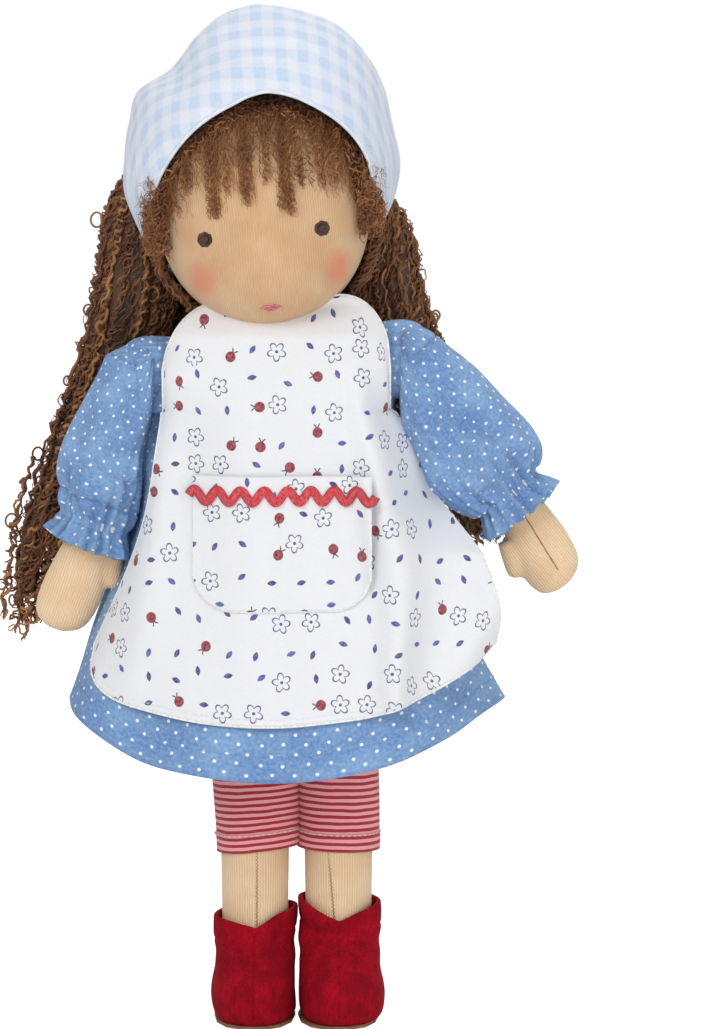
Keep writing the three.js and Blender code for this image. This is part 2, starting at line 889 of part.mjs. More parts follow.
function sleeve(side) {
  const outer = loft(sleeveSections(side, 0), limbSides + 4);
  const sections = sleeveSections(side, -clothWall);
  sections[sections.length - 1].z -= clothWall;
  const inner = loft(opened(sections, true, false), limbSides + 4);
  return hungSleeve(side, outer.subtract(inner));
}

function sleeveEnvelope(side) {
  const sections = grown(sleeveSections(side, 0), gap);
  return hungSleeve(side, loft(sections, limbSides + 4)).add(armForm(side, gap));
}

// The band of elastic inside the sleeve, round the wrist
function cuffElastic(side) {
  const cuffAt = ruffleLength - sleeveLength;
  const outer = cuffWidth / 2 - clothWall - gap;
  const ring = (radius) => [
    { x: 0, y: 0, z: cuffAt - elasticHeight / 2, a: radius, b: radius },
    { x: 0, y: 0, z: cuffAt + elasticHeight / 2, a: radius, b: radius },
  ];
  const band = loft(ring(outer), limbSides + 4);
  const hole = loft(opened(ring(outer - elasticWall), true, true), limbSides + 4);
  return hungSleeve(side, band.subtract(hole));
}

// Legs
// The legs stand as close as their leggings let them
const legX = {
  right: legMiddleX - thighWidth / 2 - leggingSlack.right - leggingWall - gap / 2,
  left: legMiddleX + thighWidth / 2 + leggingSlack.left + leggingWall + gap / 2,
};

const footBottom = soleThickness + gap + bootFloor + gap;

// Where the leg meets the foot, as shares of the foot's height, and how much of the foot is trodden flat
const heelRiseShare = 0.4;
const ankleRiseShare = 1.5;
const troddenShare = 0.06;
const footRoundness = 2.3;
const legDomeShares = [
  [0.5, 0.87],
  [0.85, 0.53],
  [0.985, 0.17],
];
const footShares = [
  [0, 0.5, 0.5],
  [0.06, 0.78, 0.75],
  [0.2, 0.98, 0.95],
  [0.5, 1, 1],
  [0.78, 0.98, 0.92],
  [0.94, 0.74, 0.72],
  [1, 0.45, 0.42],
];

function legSections() {
  const half = thighWidth / 2;
  const rows = [
    [footBottom + footHeight * heelRiseShare, ankleWidth / 2 - skinWall / 2],
    [footBottom + footHeight * ankleRiseShare, ankleWidth / 2],
    [leggingHem, (ankleWidth + thighWidth) / 4],
    [(leggingHem + hipHeight) / 2, half],
    [hipHeight, half],
  ];
  const sections = rows.map(([z, radius]) => ({ x: 0, y: 0, z, a: radius, b: radius }));
  legDomeShares.forEach(([rise, wide]) => {
    sections.push({ x: 0, y: 0, z: hipHeight + rise * hipRadius, a: (half * (1 + wide)) / 2, b: half * wide });
  });
  return sections;
}

// The foot, from the heel to the toes, lying along -Y
function footLoft(length, width, height, back, by) {
  const sections = footShares.map(([run, wide, high]) => ({
    x: 0,
    y: (height * high) / 2,
    z: run * length,
    a: (wide * width) / 2,
    b: (high * height) / 2,
  }));
  const lying = turned(90, 0, new THREE.Vector3(0, back, footBottom));
  return moved(loft(grown(sections, by), limbSides, footRoundness), lying);
}

function legForm(by) {
  const foot = footLoft(footLength, footWidth, footHeight, heelBack, by);
  const form = loft(grown(legSections(), by), limbSides).add(foot);
  return form.subtract(below(footBottom + footHeight * troddenShare - by));
}

function bootNode(side) {
  const grow = bootWall + gap;
  const shaft = legSections().slice(0, 2);
  const half = ankleWidth / 2 + bootFlare;
  const rings = shaft.concat([{ x: 0, y: 0, z: bootHeight[side] + notchDepth, a: half, b: half }]);
  const leg = loft(grown(rings, grow), limbSides + 2);
  const foot = footLoft(footLength, footWidth, footHeight, heelBack, grow);
  const outer = leg.add(foot).add(footBand(soleThickness + gap, footBottom + footHeight / 2, bootWall - gap, grow));
  const inner = legForm(gap);
  const notch = new THREE.Shape();
  notch.moveTo(0, bootHeight[side] - notchDepth);
  notch.lineTo(notchWidth, bootHeight[side] + notchDepth);
  notch.lineTo(-notchWidth, bootHeight[side] + notchDepth);
  const wedge = new THREE.ExtrudeGeometry(notch, { depth: footLength, bevelEnabled: false });
  const cutters = [
    inner.subtract(below(soleThickness + gap + bootFloor)),
    below(soleThickness + gap),
    above(bootHeight[side]),
    solidOf(wedge.rotateX(Math.PI / 2)),
  ];
  return cutAll(outer, cutters);
}

// An upright oval band round the foot between two heights, wider than the foot by an amount at each
function footBand(low, high, lowBy, highBy) {
  const rings = [[low, lowBy], [high, highBy]].map(([z, by]) => ({
    x: 0,
    y: heelBack - footLength / 2,
    z,
    a: footWidth / 2 + by,
    b: footLength / 2 + by,
  }));
  return loft(rings, limbSides + 4, footRoundness);
}

function sole() {
  return footBand(0, soleThickness, bootWall, bootWall);
}

function leggingLeg(side) {
  const wide = thighWidth / 2 + leggingSlack[side];
  const deep = hipRadius - leggingWall;
  const sections = [
    { x: 0, y: 0, z: leggingHem, a: wide - leggingWall, b: deep - leggingWall },
    { x: 0, y: 0, z: leggingHem + wide, a: wide, b: deep },
    { x: 0, y: 0, z: hipHeight, a: wide, b: deep },
  ];
  const outer = loft(grownSides(sections, leggingWall), limbSides + 2);
  const inner = loft(opened(sections, true, true), limbSides + 2);
  return cutAll(outer, [inner, legForm(gap)]);
}

function grownSides(sections, by) {
  return sections.map((section) => ({ ...section, a: section.a + by, b: section.b + by }));
}

function legGroup(side) {
  const group = new THREE.Group();
  group.position.set(legX[side], 0, 0);
  const skin = cutAll(legForm(0), [legForm(-skinWall)]);
  const tall = new THREE.CylinderGeometry(gatherRadius, gatherRadius, hipRadius, limbSides);
  const topOpening = solidOf(tall.rotateX(Math.PI / 2).translate(0, 0, hipHeight + hipRadius));
  const stuffing = legForm(-skinWall - gap);
  group.add(named("leg_" + side + "_skin", cutAll(skin, [topOpening]), materials.tricot));
  group.add(named("leg_" + side + "_stuffing", stuffing, materials.wool));
  group.add(named("legging_" + side, leggingLeg(side), materials.leggings));
  group.add(named("boot_" + side, bootNode(side), materials.velour));
  group.add(named("boot_sole_" + side, sole(), materials.sole));
  return group;
}

// Head, in its own frame: the origin is the neck, +Z the head's own axis
const lowerHeadShares = [0.03, 0.13, 0.3, 0.55, 0.8, 1];
const upperHeadShares = [0.28, 0.52, 0.74, 0.9, 0.98];

function ballSections(by) {
  const half = headWidth / 2;
  const sections = lowerHeadShares.map((share) => {
    const z = headCentre - half + share * half - by * (1 - share);
    const a = half * Math.sqrt(1 - (1 - share) ** 2) + by;
    const b = half * (1 - (1 - share) ** chinFullness) ** (1 / chinFullness) + by;
    return { x: 0, y: 0, z, a, b };
  });
  upperHeadShares.forEach((share) => {
    const radius = (half + by) * Math.sqrt(1 - share ** 2);
    const z = headCentre + share * (crownHeight + by);
    sections.push({ x: 0, y: 0, z, a: radius, b: radius });
  });
  return sections;
}

function headForm(by, stemExtra) {
  const radius = neckRadius + Math.min(by, 0);
  const stem = [
    { x: 0, y: 0, z: -stemLength - stemExtra, a: radius, b: radius },
    { x: 0, y: 0, z: 0, a: radius, b: radius },
  ];
  return loft(stem.concat(ballSections(by)), headSides);
}

function ball(by) {
  return loft(ballSections(by), headSides);
}

// The headscarf's dome in level sections: height, half-width, half-depth, centre x and y shares
const domeShares = [
  [-0.1, 0.745, 0.77, 0, 0.27],
  [0.01, 0.845, 0.86, 0, 0.25],
  [0.15, 0.95, 0.93, 0, 0.23],
  [0.28, 1, 0.98, 0, 0.205],
  [0.44, 0.99, 1, 0, 0.205],
  [0.57, 0.97, 0.99, 0, 0.23],
  [0.685, 0.89, 0.93, 0.02, 0.27],
  [0.775, 0.755, 0.82, 0.08, 0.32],
  [0.865, 0.58, 0.64, 0.12, 0.365],
  [0.935, 0.39, 0.43, 0.12, 0.39],
  [1, 0.16, 0.18, 0.08, 0.41],
];

function domeLoft(by) {
  const sections = domeShares.map(([rise, wide, deep, aside, back]) => ({
    x: (aside * scarfWidth) / 2,
    y: (back * scarfDepth) / 2,
    z: scarfBottom + rise * (scarfTop - scarfBottom),
    a: (wide * scarfWidth) / 2 + by,
    b: (deep * scarfDepth) / 2 + by,
  }));
  const last = sections[sections.length - 1];
  last.z += by;
  return loft(sections, headSides + 4);
}

// How far behind the doll's middle the scarf's and the hair's openings reach, in shares of the scarf's depth
const archBackShare = 0.08;
const hairlineBackShare = 0.02;

// The opening over the face, seen from the front, narrower by an amount
function faceArch(half, rise, by, from, to) {
  const shape = new THREE.Shape();
  shape.moveTo(half - by, -overrun);
  for (let i = 0; i <= archSteps; i += 1) {
    const turn = (Math.PI * i) / archSteps;
    const x = (half - by) * Math.cos(turn);
    shape.lineTo(x, archSpring + (rise - archSpring - by) * Math.sin(turn));
  }
  shape.lineTo(by - half, -overrun);
  const depth = to - from;
  const arch = new THREE.ExtrudeGeometry(shape, { depth, bevelEnabled: false });
  return solidOf(arch.rotateX(Math.PI / 2).translate(0, to, 0));
}

// What hangs below the scarf's edges: a V at the back, met by a slope that rises from each side tip
function belowFlap(by) {
  const wide = scarfWidth;
  const low = -3 * overrun;
  const vee = new THREE.Shape();
  vee.moveTo(0, flapPoint - by);
  vee.lineTo(wide, flapPoint - by + flapSlope * wide);
  vee.lineTo(wide, low);
  vee.lineTo(-wide, low);
  vee.lineTo(-wide, flapPoint - by + flapSlope * wide);
  const across = new THREE.ExtrudeGeometry(vee, { depth: 2 * scarfDepth, bevelEnabled: false });
  const slope = new THREE.Shape();
  const tip = sideTipBack + by;
  const top = flapPoint + flapSlope * wide;
  slope.moveTo(tip, low);
  slope.lineTo(2 * scarfDepth, low);
  slope.lineTo(2 * scarfDepth, top);
  slope.lineTo(tip + (top - scarfBottom) / sideSlope, top);
  slope.lineTo(tip, scarfBottom);
  const along = new THREE.ExtrudeGeometry(slope, { depth: 2 * wide, bevelEnabled: false });
  const standing = new THREE.Matrix4().makeBasis(
    new THREE.Vector3(0, 1, 0),
    new THREE.Vector3(0, 0, 1),
    new THREE.Vector3(1, 0, 0),
  );
  const veeSolid = solidOf(across.rotateX(Math.PI / 2).translate(0, 2 * scarfDepth, 0));
  return veeSolid.intersect(solidOf(along.applyMatrix4(standing).translate(-wide, 0, 0)));
}

function scarfSolid(outBy, inBy, edge) {
  const cutters = [
    domeLoft(inBy),
    faceArch(archHalf, archRise, edge, -scarfDepth, scarfDepth * archBackShare),
    belowFlap(edge),
    below(scarfBottom - edge),
  ];
  return cutAll(domeLoft(outBy), cutters);
}

function wigCap() {
  const cutters = [
    ball(gap),
    faceArch(hairlineHalf, hairlineRise, 0, -scarfDepth, scarfDepth * hairlineBackShare),
    below(scarfBottom + gap),
  ];
  return cutAll(ball(wigThickness), cutters).intersect(domeLoft(-clothWall - gap));
}

function fringe() {
  const front = cutAll(ball(fringeThickness + gap), [ball(gap), below(fringeBottom)]);
  const inArch = faceArch(hairlineHalf, hairlineRise, gap, -scarfDepth, -gap);
  return front.intersect(inArch);
}

// A small raised stitch on the face: a domed disc that lies on the skin
function stitch(x, z, wide, high) {
  const disc = new THREE.CylinderGeometry(1 / 2, 1 / 2, headWidth / 2, limbSides);
  disc.scale(wide, 1, high).translate(x, -headWidth / 4, z);
  const dome = ball(gap + stitchRaise);
  return solidOf(disc).intersect(dome).subtract(headForm(gap, 0));
}

// The ties: how far round the head they start and stop short of the knot in radians, how they fall, and how high the knot sits
const tieStartTurn = 0.12;
const tieEndTurn = 0.16;
const tieEndShare = 1.4;
const tieFallShare = 0.45;
const tieLiftShare = 0.35;
const knotRiseShare = 1.2;

function scarfTie(side) {
  const at = signOf[side];
  const half = headWidth / 2;
  const lift = gap + tieThickness / 2;
  const lastTurn = Math.PI / 2 - (knotRadius + gap) / half - tieEndTurn;
  const rings = [];
  for (let i = 0; i <= tieSteps; i += 1) {
    const share = i / tieSteps;
    const turn = THREE.MathUtils.lerp(tieStartTurn, lastTurn, share);
    const z = THREE.MathUtils.lerp(scarfBottom - gap - tieWidth / 2 - lift, knotRadius * tieEndShare, share);
    const level = Math.min(half, Math.sqrt(half ** 2 - (headCentre - z) ** 2)) + lift;
    const centre = new THREE.Vector3(at * level * Math.cos(turn), level * Math.sin(turn), z);
    const out = new THREE.Vector3(centre.x, centre.y, z - headCentre).normalize();
    const along = new THREE.Vector3(-at * Math.sin(turn), Math.cos(turn), -tieFallShare).normalize();
    const across = out.clone().cross(along).normalize();
    rings.push(flatRing(centre.addScaledVector(out, tieThickness * tieLiftShare), along, across));
  }
  return solidOf(ringsGeometry(rings)).subtract(ball(gap));
}

function flatRing(centre, along, across) {
  const u = across.clone();
  const v = along.clone().cross(u).normalize();
  const ring = [];
  for (let i = 0; i < tieSides; i += 1) {
    const turn = (2 * Math.PI * i) / tieSides;
    const point = centre.clone().addScaledVector(u, (tieWidth / 2) * Math.cos(turn));
    ring.push(point.addScaledVector(v, (tieThickness / 2) * Math.sin(turn)));
  }
  return ring;
}

function scarfKnot() {
  const z = knotRadius * knotRiseShare;
  const level = Math.sqrt((headWidth / 2) ** 2 - (headCentre - z) ** 2);
  const knot = new THREE.SphereGeometry(knotRadius, limbSides, limbSides - 4);
  knot.translate(0, level + knotRadius, z);
  return solidOf(knot).subtract(ball(gap));
}

function headGroup() {
  const group = new THREE.Group();
  group.position.set(headPivotX, 0, headPivotHeight);
  group.rotation.y = THREE.MathUtils.degToRad(-headTilt);
  const skin = headForm(0, 0).subtract(headForm(-skinWall, overrun));
  const core = headForm(-skinWall - gap, 0);
  group.add(named("head_skin", skin, materials.tricot));
  group.add(named("head_core", core, materials.wool));
  for (const side of sides) {
    const eyeX = (signOf[side] * eyeSpacing) / 2;
    group.add(named("eye_" + side, stitch(eyeX, eyeHeight, eyeWidth, eyeRise), materials.thread));
    group.add(named("scarf_tie_" + side, scarfTie(side), materials.gingham));
  }
  group.add(named("mouth", stitch(0, mouthHeight, mouthWidth, mouthRise), materials.lips));
  group.add(named("wig_cap", wigCap(), materials.yarn));
  group.add(named("fringe", fringe(), materials.yarn));
  group.add(named("headscarf", scarfSolid(0, -clothWall, 0), materials.gingham));
  group.add(named("scarf_knot", scarfKnot(), materials.gingham));
  return group;
}

// Hair that hangs: each lock is a loft down its own path, cut where the head, scarf or sleeves lie
// Shares of a lock: drop, aside and back of its middle, width and depth
const rightLockRiseShare = 0.5;
const rightLockInsetShare = 0.55;
const rightLockShares = [
  [0, -0.98, 1.12, 0.3, 0.4],
  [0.08, -1.1, 1.22, 0.74, 0.85],
  [0.24, -1.18, 1.35, 0.94, 1],
  [0.41, -1.51, 1.4, 1, 1],
  [0.6, -2.12, 1.4, 1, 1],
  [0.78, -2.84, 1.4, 0.83, 0.95],
  [0.93, -3.23, 1.35, 0.61, 0.8],
  [1, -3.32, 1.3, 0.39, 0.5],
];
const leftLockRiseShare = 0.1;
const leftLockShares = [
  [0, 0.1, 1.12, 0.35, 0.4],
  [0.1, 0.22, 1.22, 0.8, 0.85],
  [0.26, 0.4, 1.35, 0.95, 1],
  [0.42, 0.86, 1.5, 1, 1],
  [0.6, 1.63, 1.6, 1, 1],
  [0.8, 2.55, 1.6, 0.92, 0.95],
  [0.95, 3.2, 1.55, 0.62, 0.8],
  [1, 3.3, 1.5, 0.4, 0.5],
];
const backHairRiseShare = 0.25;
const backHairRoundness = 2.5;
const backHairShares = [
  [0, 0.45, 0.4, 3.35],
  [0.13, 0.8, 0.85, 3.35],
  [0.3, 0.96, 1, 3.15],
  [0.52, 1, 0.95, 3.05],
  [0.72, 0.98, 0.9, 3.3],
  [0.92, 0.86, 0.75, 3.75],
  [1, 0.66, 0.5, 3.85],
];

function rightLock() {
  const top = headPivotHeight + headCentre + scarfBottom * rightLockRiseShare;
  const baseX = headPivotX - headWidth / 2 - 2 * wigThickness + rightLockWidth * rightLockInsetShare;
  return hairLoft(lockPath(rightLockShares, top, rightLockLength, baseX, rightLockWidth, rightLockDepth));
}

function leftLock() {
  const top = headPivotHeight + headCentre + scarfBottom * leftLockRiseShare;
  const baseX = headPivotX + headWidth / 2;
  return hairLoft(lockPath(leftLockShares, top, leftLockLength, baseX, leftLockWidth, leftLockDepth));
}

function lockPath(shares, top, length, baseX, width, depth) {
  return shares.map(([drop, aside, back, wide, deep]) => ({
    x: baseX + (aside * width) / 2,
    y: back * depth,
    z: top - drop * length,
    a: (wide * width) / 2,
    b: (deep * depth) / 2,
  }));
}

function backHair() {
  const top = headPivotHeight + headCentre + scarfBottom * backHairRiseShare;
  const sections = backHairShares.map(([drop, wide, deep, back]) => ({
    x: headPivotX + (dressTopX - headPivotX) * drop,
    y: back * backHairDepth,
    z: top - drop * backHairLength,
    a: (wide * backHairWidth) / 2,
    b: (deep * backHairDepth) / 2,
  }));
  return hairLoft(sections, backHairRoundness);
}

function hairLoft(sections, roundness = 2) {
  return loft([...sections].reverse(), limbSides + 2, roundness);
}

function hairNodes() {
  const onHead = headMatrix();
  const scarfClear = moved(scarfSolid(overrun / 2, -clothWall - gap, gap), onHead);
  const wigClear = moved(ball(wigThickness + gap), onHead);
  const sleeveClear = sides.map(sleeveEnvelope);
  const dressClear = [skirtEnvelope(), loft(bodiceSections(gap), bodySides * 2)];
  const shared = [scarfClear, wigClear, ...sleeveClear, ...dressClear];
  const left = cutAll(leftLock(), shared);
  const right = cutAll(rightLock(), shared);
  const back = cutAll(backHair(), [...shared, grownLock(rightLock), grownLock(leftLock)]);
  return [
    named("hair_left", left, materials.yarn),
    named("hair_right", right, materials.yarn),
    named("hair_back", back, materials.yarn),
  ];
}

function grownLock(build) {
  const geometry = geometryOf(build());
  geometry.computeBoundingBox();
  const middle = geometry.boundingBox.getCenter(new THREE.Vector3());
  const size = geometry.boundingBox.getSize(new THREE.Vector3());
  const scale = new THREE.Vector3(1 + (4 * gap) / size.x, 1 + (4 * gap) / size.y, 1);
  geometry.translate(-middle.x, -middle.y, -middle.z).scale(scale.x, scale.y, scale.z);
  return solidOf(geometry.translate(middle.x, middle.y, middle.z));
}

// The whole doll, with the middle of its footprint at the origin
function doll() {
  const root = new THREE.Group();
  root.add(...torsoNodes(), ...dressNodes(), ...apronNodes());
  sides.forEach((side) => root.add(...armNodes(side), legGroup(side)));
  root.add(headGroup(), ...hairNodes());
  root.updateMatrixWorld(true);
  const middle = new THREE.Box3().setFromObject(root, true).getCenter(new THREE.Vector3());
  root.position.set(-middle.x, -middle.y, 0);
  return root;
}

export default doll();
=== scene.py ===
import math
import random

import bpy
import numpy as np
from mathutils import Matrix, Vector, noise


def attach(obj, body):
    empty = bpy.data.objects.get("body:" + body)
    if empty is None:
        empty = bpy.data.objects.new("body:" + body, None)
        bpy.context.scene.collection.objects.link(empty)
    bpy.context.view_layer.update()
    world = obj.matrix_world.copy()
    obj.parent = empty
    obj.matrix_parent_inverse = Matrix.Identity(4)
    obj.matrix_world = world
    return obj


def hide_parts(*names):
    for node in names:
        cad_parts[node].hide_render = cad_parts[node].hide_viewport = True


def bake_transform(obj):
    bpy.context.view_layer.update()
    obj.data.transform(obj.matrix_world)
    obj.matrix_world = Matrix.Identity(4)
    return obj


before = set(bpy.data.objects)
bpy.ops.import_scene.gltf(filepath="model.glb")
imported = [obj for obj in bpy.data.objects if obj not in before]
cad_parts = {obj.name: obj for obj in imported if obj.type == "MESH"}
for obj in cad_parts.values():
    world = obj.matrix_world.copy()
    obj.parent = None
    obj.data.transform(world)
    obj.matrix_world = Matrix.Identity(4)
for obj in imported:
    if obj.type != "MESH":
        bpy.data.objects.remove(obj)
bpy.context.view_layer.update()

# Sizes in millimetres, in the solids' own frame before its middle was put at the origin
shift = np.array((0.001, -0.614, 0.0))
sides = {"right": -1, "left": 1}

hip_height = 140.0
hip_radius = 14.4
leg_x = {"right": -13.65, "left": 17.8}
legging_hem = 63.0
legging_half = {"right": 16.7, "left": 14.45}

torso_bottom = 154.7
torso_top = 259.5
torso_x = (3.2, -6.6)

shoulder_height = 247.0
bodice_side = 45.25
shoulder_x = {"right": -50.3, "left": 40.3}
arm_forward = 3.0
arm_hang = {"right": 20.0, "left": 39.0}
sleeve_length = 74.0
sleeve_head = 12.2
cuff_line = -65.0
sleeve_puff = {"right": 34.5, "left": 39.0}

dress_x = (-5.0, -3.0)
waist = 228.0
neckline = 259.0
bodice_size = (88.0, 50.0)
skirt_size = (163.0, 104.0)
front_hem = 95.0
side_hem = 120.0
fold_depth = 1.8
fold_count = 7

apron_lift = 1.3
apron_hem = 114.6
apron_shoulder = 267.0
apron_flare = 22.0
pocket_middle = -2.8
pocket_size = (65.3, 49.0)
pocket_bottom = 156.7
pocket_corner = 14.0
braid_width = 68.5
braid_pitch = 8.56

head_pivot = (-6.6, 0.0, 262.5)
head_tilt = 5.5
head_half = 39.4
chin_drop = 2.4
head_centre = 40.0
crown_height = 46.0
chin_fullness = 2.6
eye_half_spacing = 22.0
eye_height = 33.7
mouth_height = 6.2


# Small helpers: numbers, tables and placing
def lerp(a, b, share):
    return a + (b - a) * share


def clamped(value):
    return min(1.0, max(0.0, value))


def bell(gap, other=0.0):
    """1 in the middle and falling to 0, over a distance given in half widths, one way or two."""
    return math.exp(-(gap**2) - other**2)


def around_from(turn, place):
    """How far a turn lies from a place on the circle, both in radians from 0 to 2 pi."""
    return turn % (2 * math.pi) - place


def circle_turns(count):
    return np.arange(count) * 2 * math.pi / count


def curve_through(rows, at):
    """The rows of a table, read at a value of their first column, on a smooth curve."""
    keys = [row[0] for row in rows]
    at = min(max(at, keys[0]), keys[-1])
    i = min(max(np.searchsorted(keys, at) - 1, 0), len(rows) - 2)
    share = (at - keys[i]) / (keys[i + 1] - keys[i])
    before, low = np.array(rows[max(i - 1, 0)][1:]), np.array(rows[i][1:])
    high, after = np.array(rows[i + 1][1:]), np.array(rows[min(i + 2, len(rows) - 1)][1:])
    gap = keys[i + 1] - keys[i]
    slope_low = (high - before) / max(keys[i + 1] - keys[max(i - 1, 0)], 1e-6) * gap
    slope_high = (after - low) / max(keys[min(i + 2, len(rows) - 1)] - keys[i], 1e-6) * gap
    s2, s3 = share**2, share**3
    return (
        (2 * s3 - 3 * s2 + 1) * low
        + (s3 - 2 * s2 + share) * slope_low
        + (3 * s2 - 2 * s3) * high
        + (s3 - s2) * slope_high
    )


def turned(about_y, place):
    return Matrix.Translation(place) @ Matrix.Rotation(math.radians(about_y), 4, "Y")


def moved(points, matrix):
    table = np.array(matrix)
    points = np.asarray(points, float)
    return points @ table[:3, :3].T + table[:3, 3]


on_head = turned(-head_tilt, np.array(head_pivot) + (0.5, 0, -1.7))


def soft_noise(x, y, z, size):
    return noise.noise(Vector((x, y, z)) / size)


# Meshes: grids of points in millimetres become pieces in metres
def piece(name, points, faces, uvs, material):
    mesh = bpy.data.meshes.new(name)
    mesh.from_pydata(((np.asarray(points) + shift) / 1000).tolist(), [], faces)
    if uvs is not None:
        layer = mesh.uv_layers.new(name="cloth")
        layer.data.foreach_set("uv", np.asarray(uvs, np.float32).ravel())
    mesh.polygons.foreach_set("use_smooth", [True] * len(mesh.polygons))
    mesh.update()
    obj = bpy.data.objects.new(name, mesh)
    bpy.context.scene.collection.objects.link(obj)
    obj.data.materials.append(material)
    return obj


def grid(rows, around=False, ends=(False, False), uv=None):
    """Faces and UVs of a grid.

    Around joins the last column to the first, and ends close the first and last row.
    """
    rows = [np.asarray(row, float) for row in rows]
    count, across = len(rows), len(rows[0])
    columns = across if around else across - 1
    points = np.concatenate(rows)
    faces, coordinates = [], []
    for i in range(count - 1):
        for j in range(columns):
            k = (j + 1) % across
            faces.append(
                (i * across + j, i * across + k, (i + 1) * across + k, (i + 1) * across + j)
            )
            for a, b in ((i, j), (i, j + 1), (i + 1, j + 1), (i + 1, j)):
                coordinates.append(uv[a][b] if uv is not None else (b, a))
    for at_end, closed in enumerate(ends):
        if not closed:
            continue
        i = (count - 1) * at_end
        ring = [i * across + j for j in range(across)]
        points = np.vstack((points, rows[i].mean(axis=0)))
        middle = len(points) - 1
        for j in range(across):
            k = (j + 1) % across
            pair = (ring[k], ring[j]) if at_end == 0 else (ring[j], ring[k])
            faces.append((*pair, middle))
            coordinates += [uv[i][j]] * 3 if uv is not None else [(j, i)] * 3
    return points, faces, coordinates


def lengths(rows, around=False):
    """UVs in millimetres: across from the middle column, and down along the middle column."""
    rows = np.asarray(rows, float)
    if around:
        rows = np.concatenate((rows, rows[:, :1]), axis=1)
    steps = np.linalg.norm(np.diff(rows, axis=1), axis=2)
    across = np.concatenate((np.zeros((len(rows), 1)), np.cumsum(steps, axis=1)), axis=1)
    if around:
        across = np.repeat(across.mean(axis=0)[None], len(rows), axis=0)
    else:
        across -= across[:, [across.shape[1] // 2]]
    middle = rows[:, rows.shape[1] // 2]
    down = np.concatenate(([0], np.cumsum(np.linalg.norm(np.diff(middle, axis=0), axis=1))))
    return np.stack((across, np.repeat(-down[:, None], rows.shape[1], axis=1)), axis=2)


def sheet_piece(name, rows, wall, material, around=False, uv=None, outwards=1.0, folds=None):
    """A grid of cloth, let find its folds if asked, and thickened by wall."""
    uv = lengths(rows, around) if uv is None else uv
    obj = piece(name, *grid(rows, around, uv=uv), material)
    if folds:
        settle(obj, **folds)
    solid = obj.modifiers.new("wall", "SOLIDIFY")
    solid.thickness = wall / 1000
    solid.offset = outwards
    apply_modifiers(obj)
    return obj


def form_piece(name, rows, material, uv=None):
    """A closed form through rings of points."""
    uv = lengths(rows, True) if uv is None else uv
    return piece(name, *grid(rows, True, (True, True), uv), material)


def show_solid(name, material):
    """A solid of the frame that is shown as it is, in the scene's own material."""
    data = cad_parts[name].data
    data.materials.clear()
    data.materials.append(material)


def apply_modifiers(obj):
    bpy.context.view_layer.update()
    graph = bpy.context.evaluated_depsgraph_get()
    mesh = bpy.data.meshes.new_from_object(obj.evaluated_get(graph))
    obj.modifiers.clear()
    obj.data = mesh
    mesh.polygons.foreach_set("use_smooth", [True] * len(mesh.polygons))
    return obj


def settle(obj, pinned, grown_by, pressure, bending):
    """Lets a sheet find its own folds, at ten times its size.

    Pinned points stay, and no point goes further than 2.2 mm.
    """
    times, reach, frames = 10, 0.0022, 18
    before = np.array([v.co[:] for v in obj.data.vertices])
    obj.data.transform(Matrix.Scale(times, 4))
    pins = obj.vertex_groups.new(name="pins")
    for index, weight in pinned:
        pins.add([index], weight, "REPLACE")
    cloth = obj.modifiers.new("cloth", "CLOTH")
    cloth.settings.quality = 5
    cloth.settings.mass = 0.2
    cloth.settings.vertex_group_mass = "pins"
    cloth.settings.shrink_min = -grown_by
    cloth.settings.use_pressure = True
    cloth.settings.uniform_pressure_force = pressure
    cloth.settings.tension_stiffness = 20
    cloth.settings.compression_stiffness = 20
    cloth.settings.shear_stiffness = 8
    cloth.settings.bending_stiffness = bending
    cloth.settings.effector_weights.gravity = 0
    cloth.collision_settings.use_collision = False
    cloth.point_cache.frame_end = frames
    for number in range(1, frames + 1):
        bpy.context.scene.frame_set(number)
    uvs = obj.data.uv_layers.active.name
    apply_modifiers(obj)
    bpy.context.scene.frame_set(1)
    obj.vertex_groups.clear()
    obj.data.uv_layers[uvs].active = True
    obj.data.transform(Matrix.Scale(1 / times, 4))
    if len(obj.data.vertices) != len(before):
        return
    moves = np.array([v.co[:] for v in obj.data.vertices]) - before
    size = np.linalg.norm(moves, axis=1)[:, None]
    kept = before + moves * np.minimum(1.0, reach / (size + 1e-12))
    obj.data.vertices.foreach_set("co", kept.astype(np.float32).ravel())
    obj.data.update()


def joined(name, objects):
    points, faces, uvs = [], [], []
    for obj in objects:
        start = len(points)
        mesh = obj.data
        points += [v.co[:] for v in mesh.vertices]
        faces += [tuple(start + i for i in p.vertices) for p in mesh.polygons]
        layer = mesh.uv_layers.active
        uvs += [tuple(d.uv) for d in layer.data] if layer else [(0, 0)] * len(mesh.loops)
    material = objects[0].data.materials[0]
    for obj in objects:
        bpy.data.objects.remove(obj)
    return piece(name, np.array(points) * 1000 - shift, faces, uvs, material)


def oval(x, y, z, a, b, count, roundness=2.0):
    turns = circle_turns(count)
    c, s = np.cos(turns), np.sin(turns)
    u = np.sign(c) * np.abs(c) ** (2 / roundness) * a
    v = np.sign(s) * np.abs(s) ** (2 / roundness) * b
    return np.stack((x + u, y + v, np.full(count, z)), axis=1)


def tube(path, radii, sides_count=5):
    """Rings round a path of points, for thread, yarn and strands."""
    path = np.asarray(path, float)
    radii = np.broadcast_to(np.asarray(radii, float), len(path))
    along = np.gradient(path, axis=0)
    along /= np.linalg.norm(along, axis=1)[:, None] + 1e-9
    side = np.cross(along, (0.31, 0.87, 0.38))
    side /= np.linalg.norm(side, axis=1)[:, None] + 1e-9
    third = np.cross(along, side)
    turns = circle_turns(sides_count)
    ring = (
        side[:, None] * np.cos(turns)[None, :, None] + third[:, None] * np.sin(turns)[None, :, None]
    )
    return path[:, None] + ring * radii[:, None, None]


def closed_tube(path, radius, sides_count):
    return tube(np.vstack((path, path[:2])), radius, sides_count)


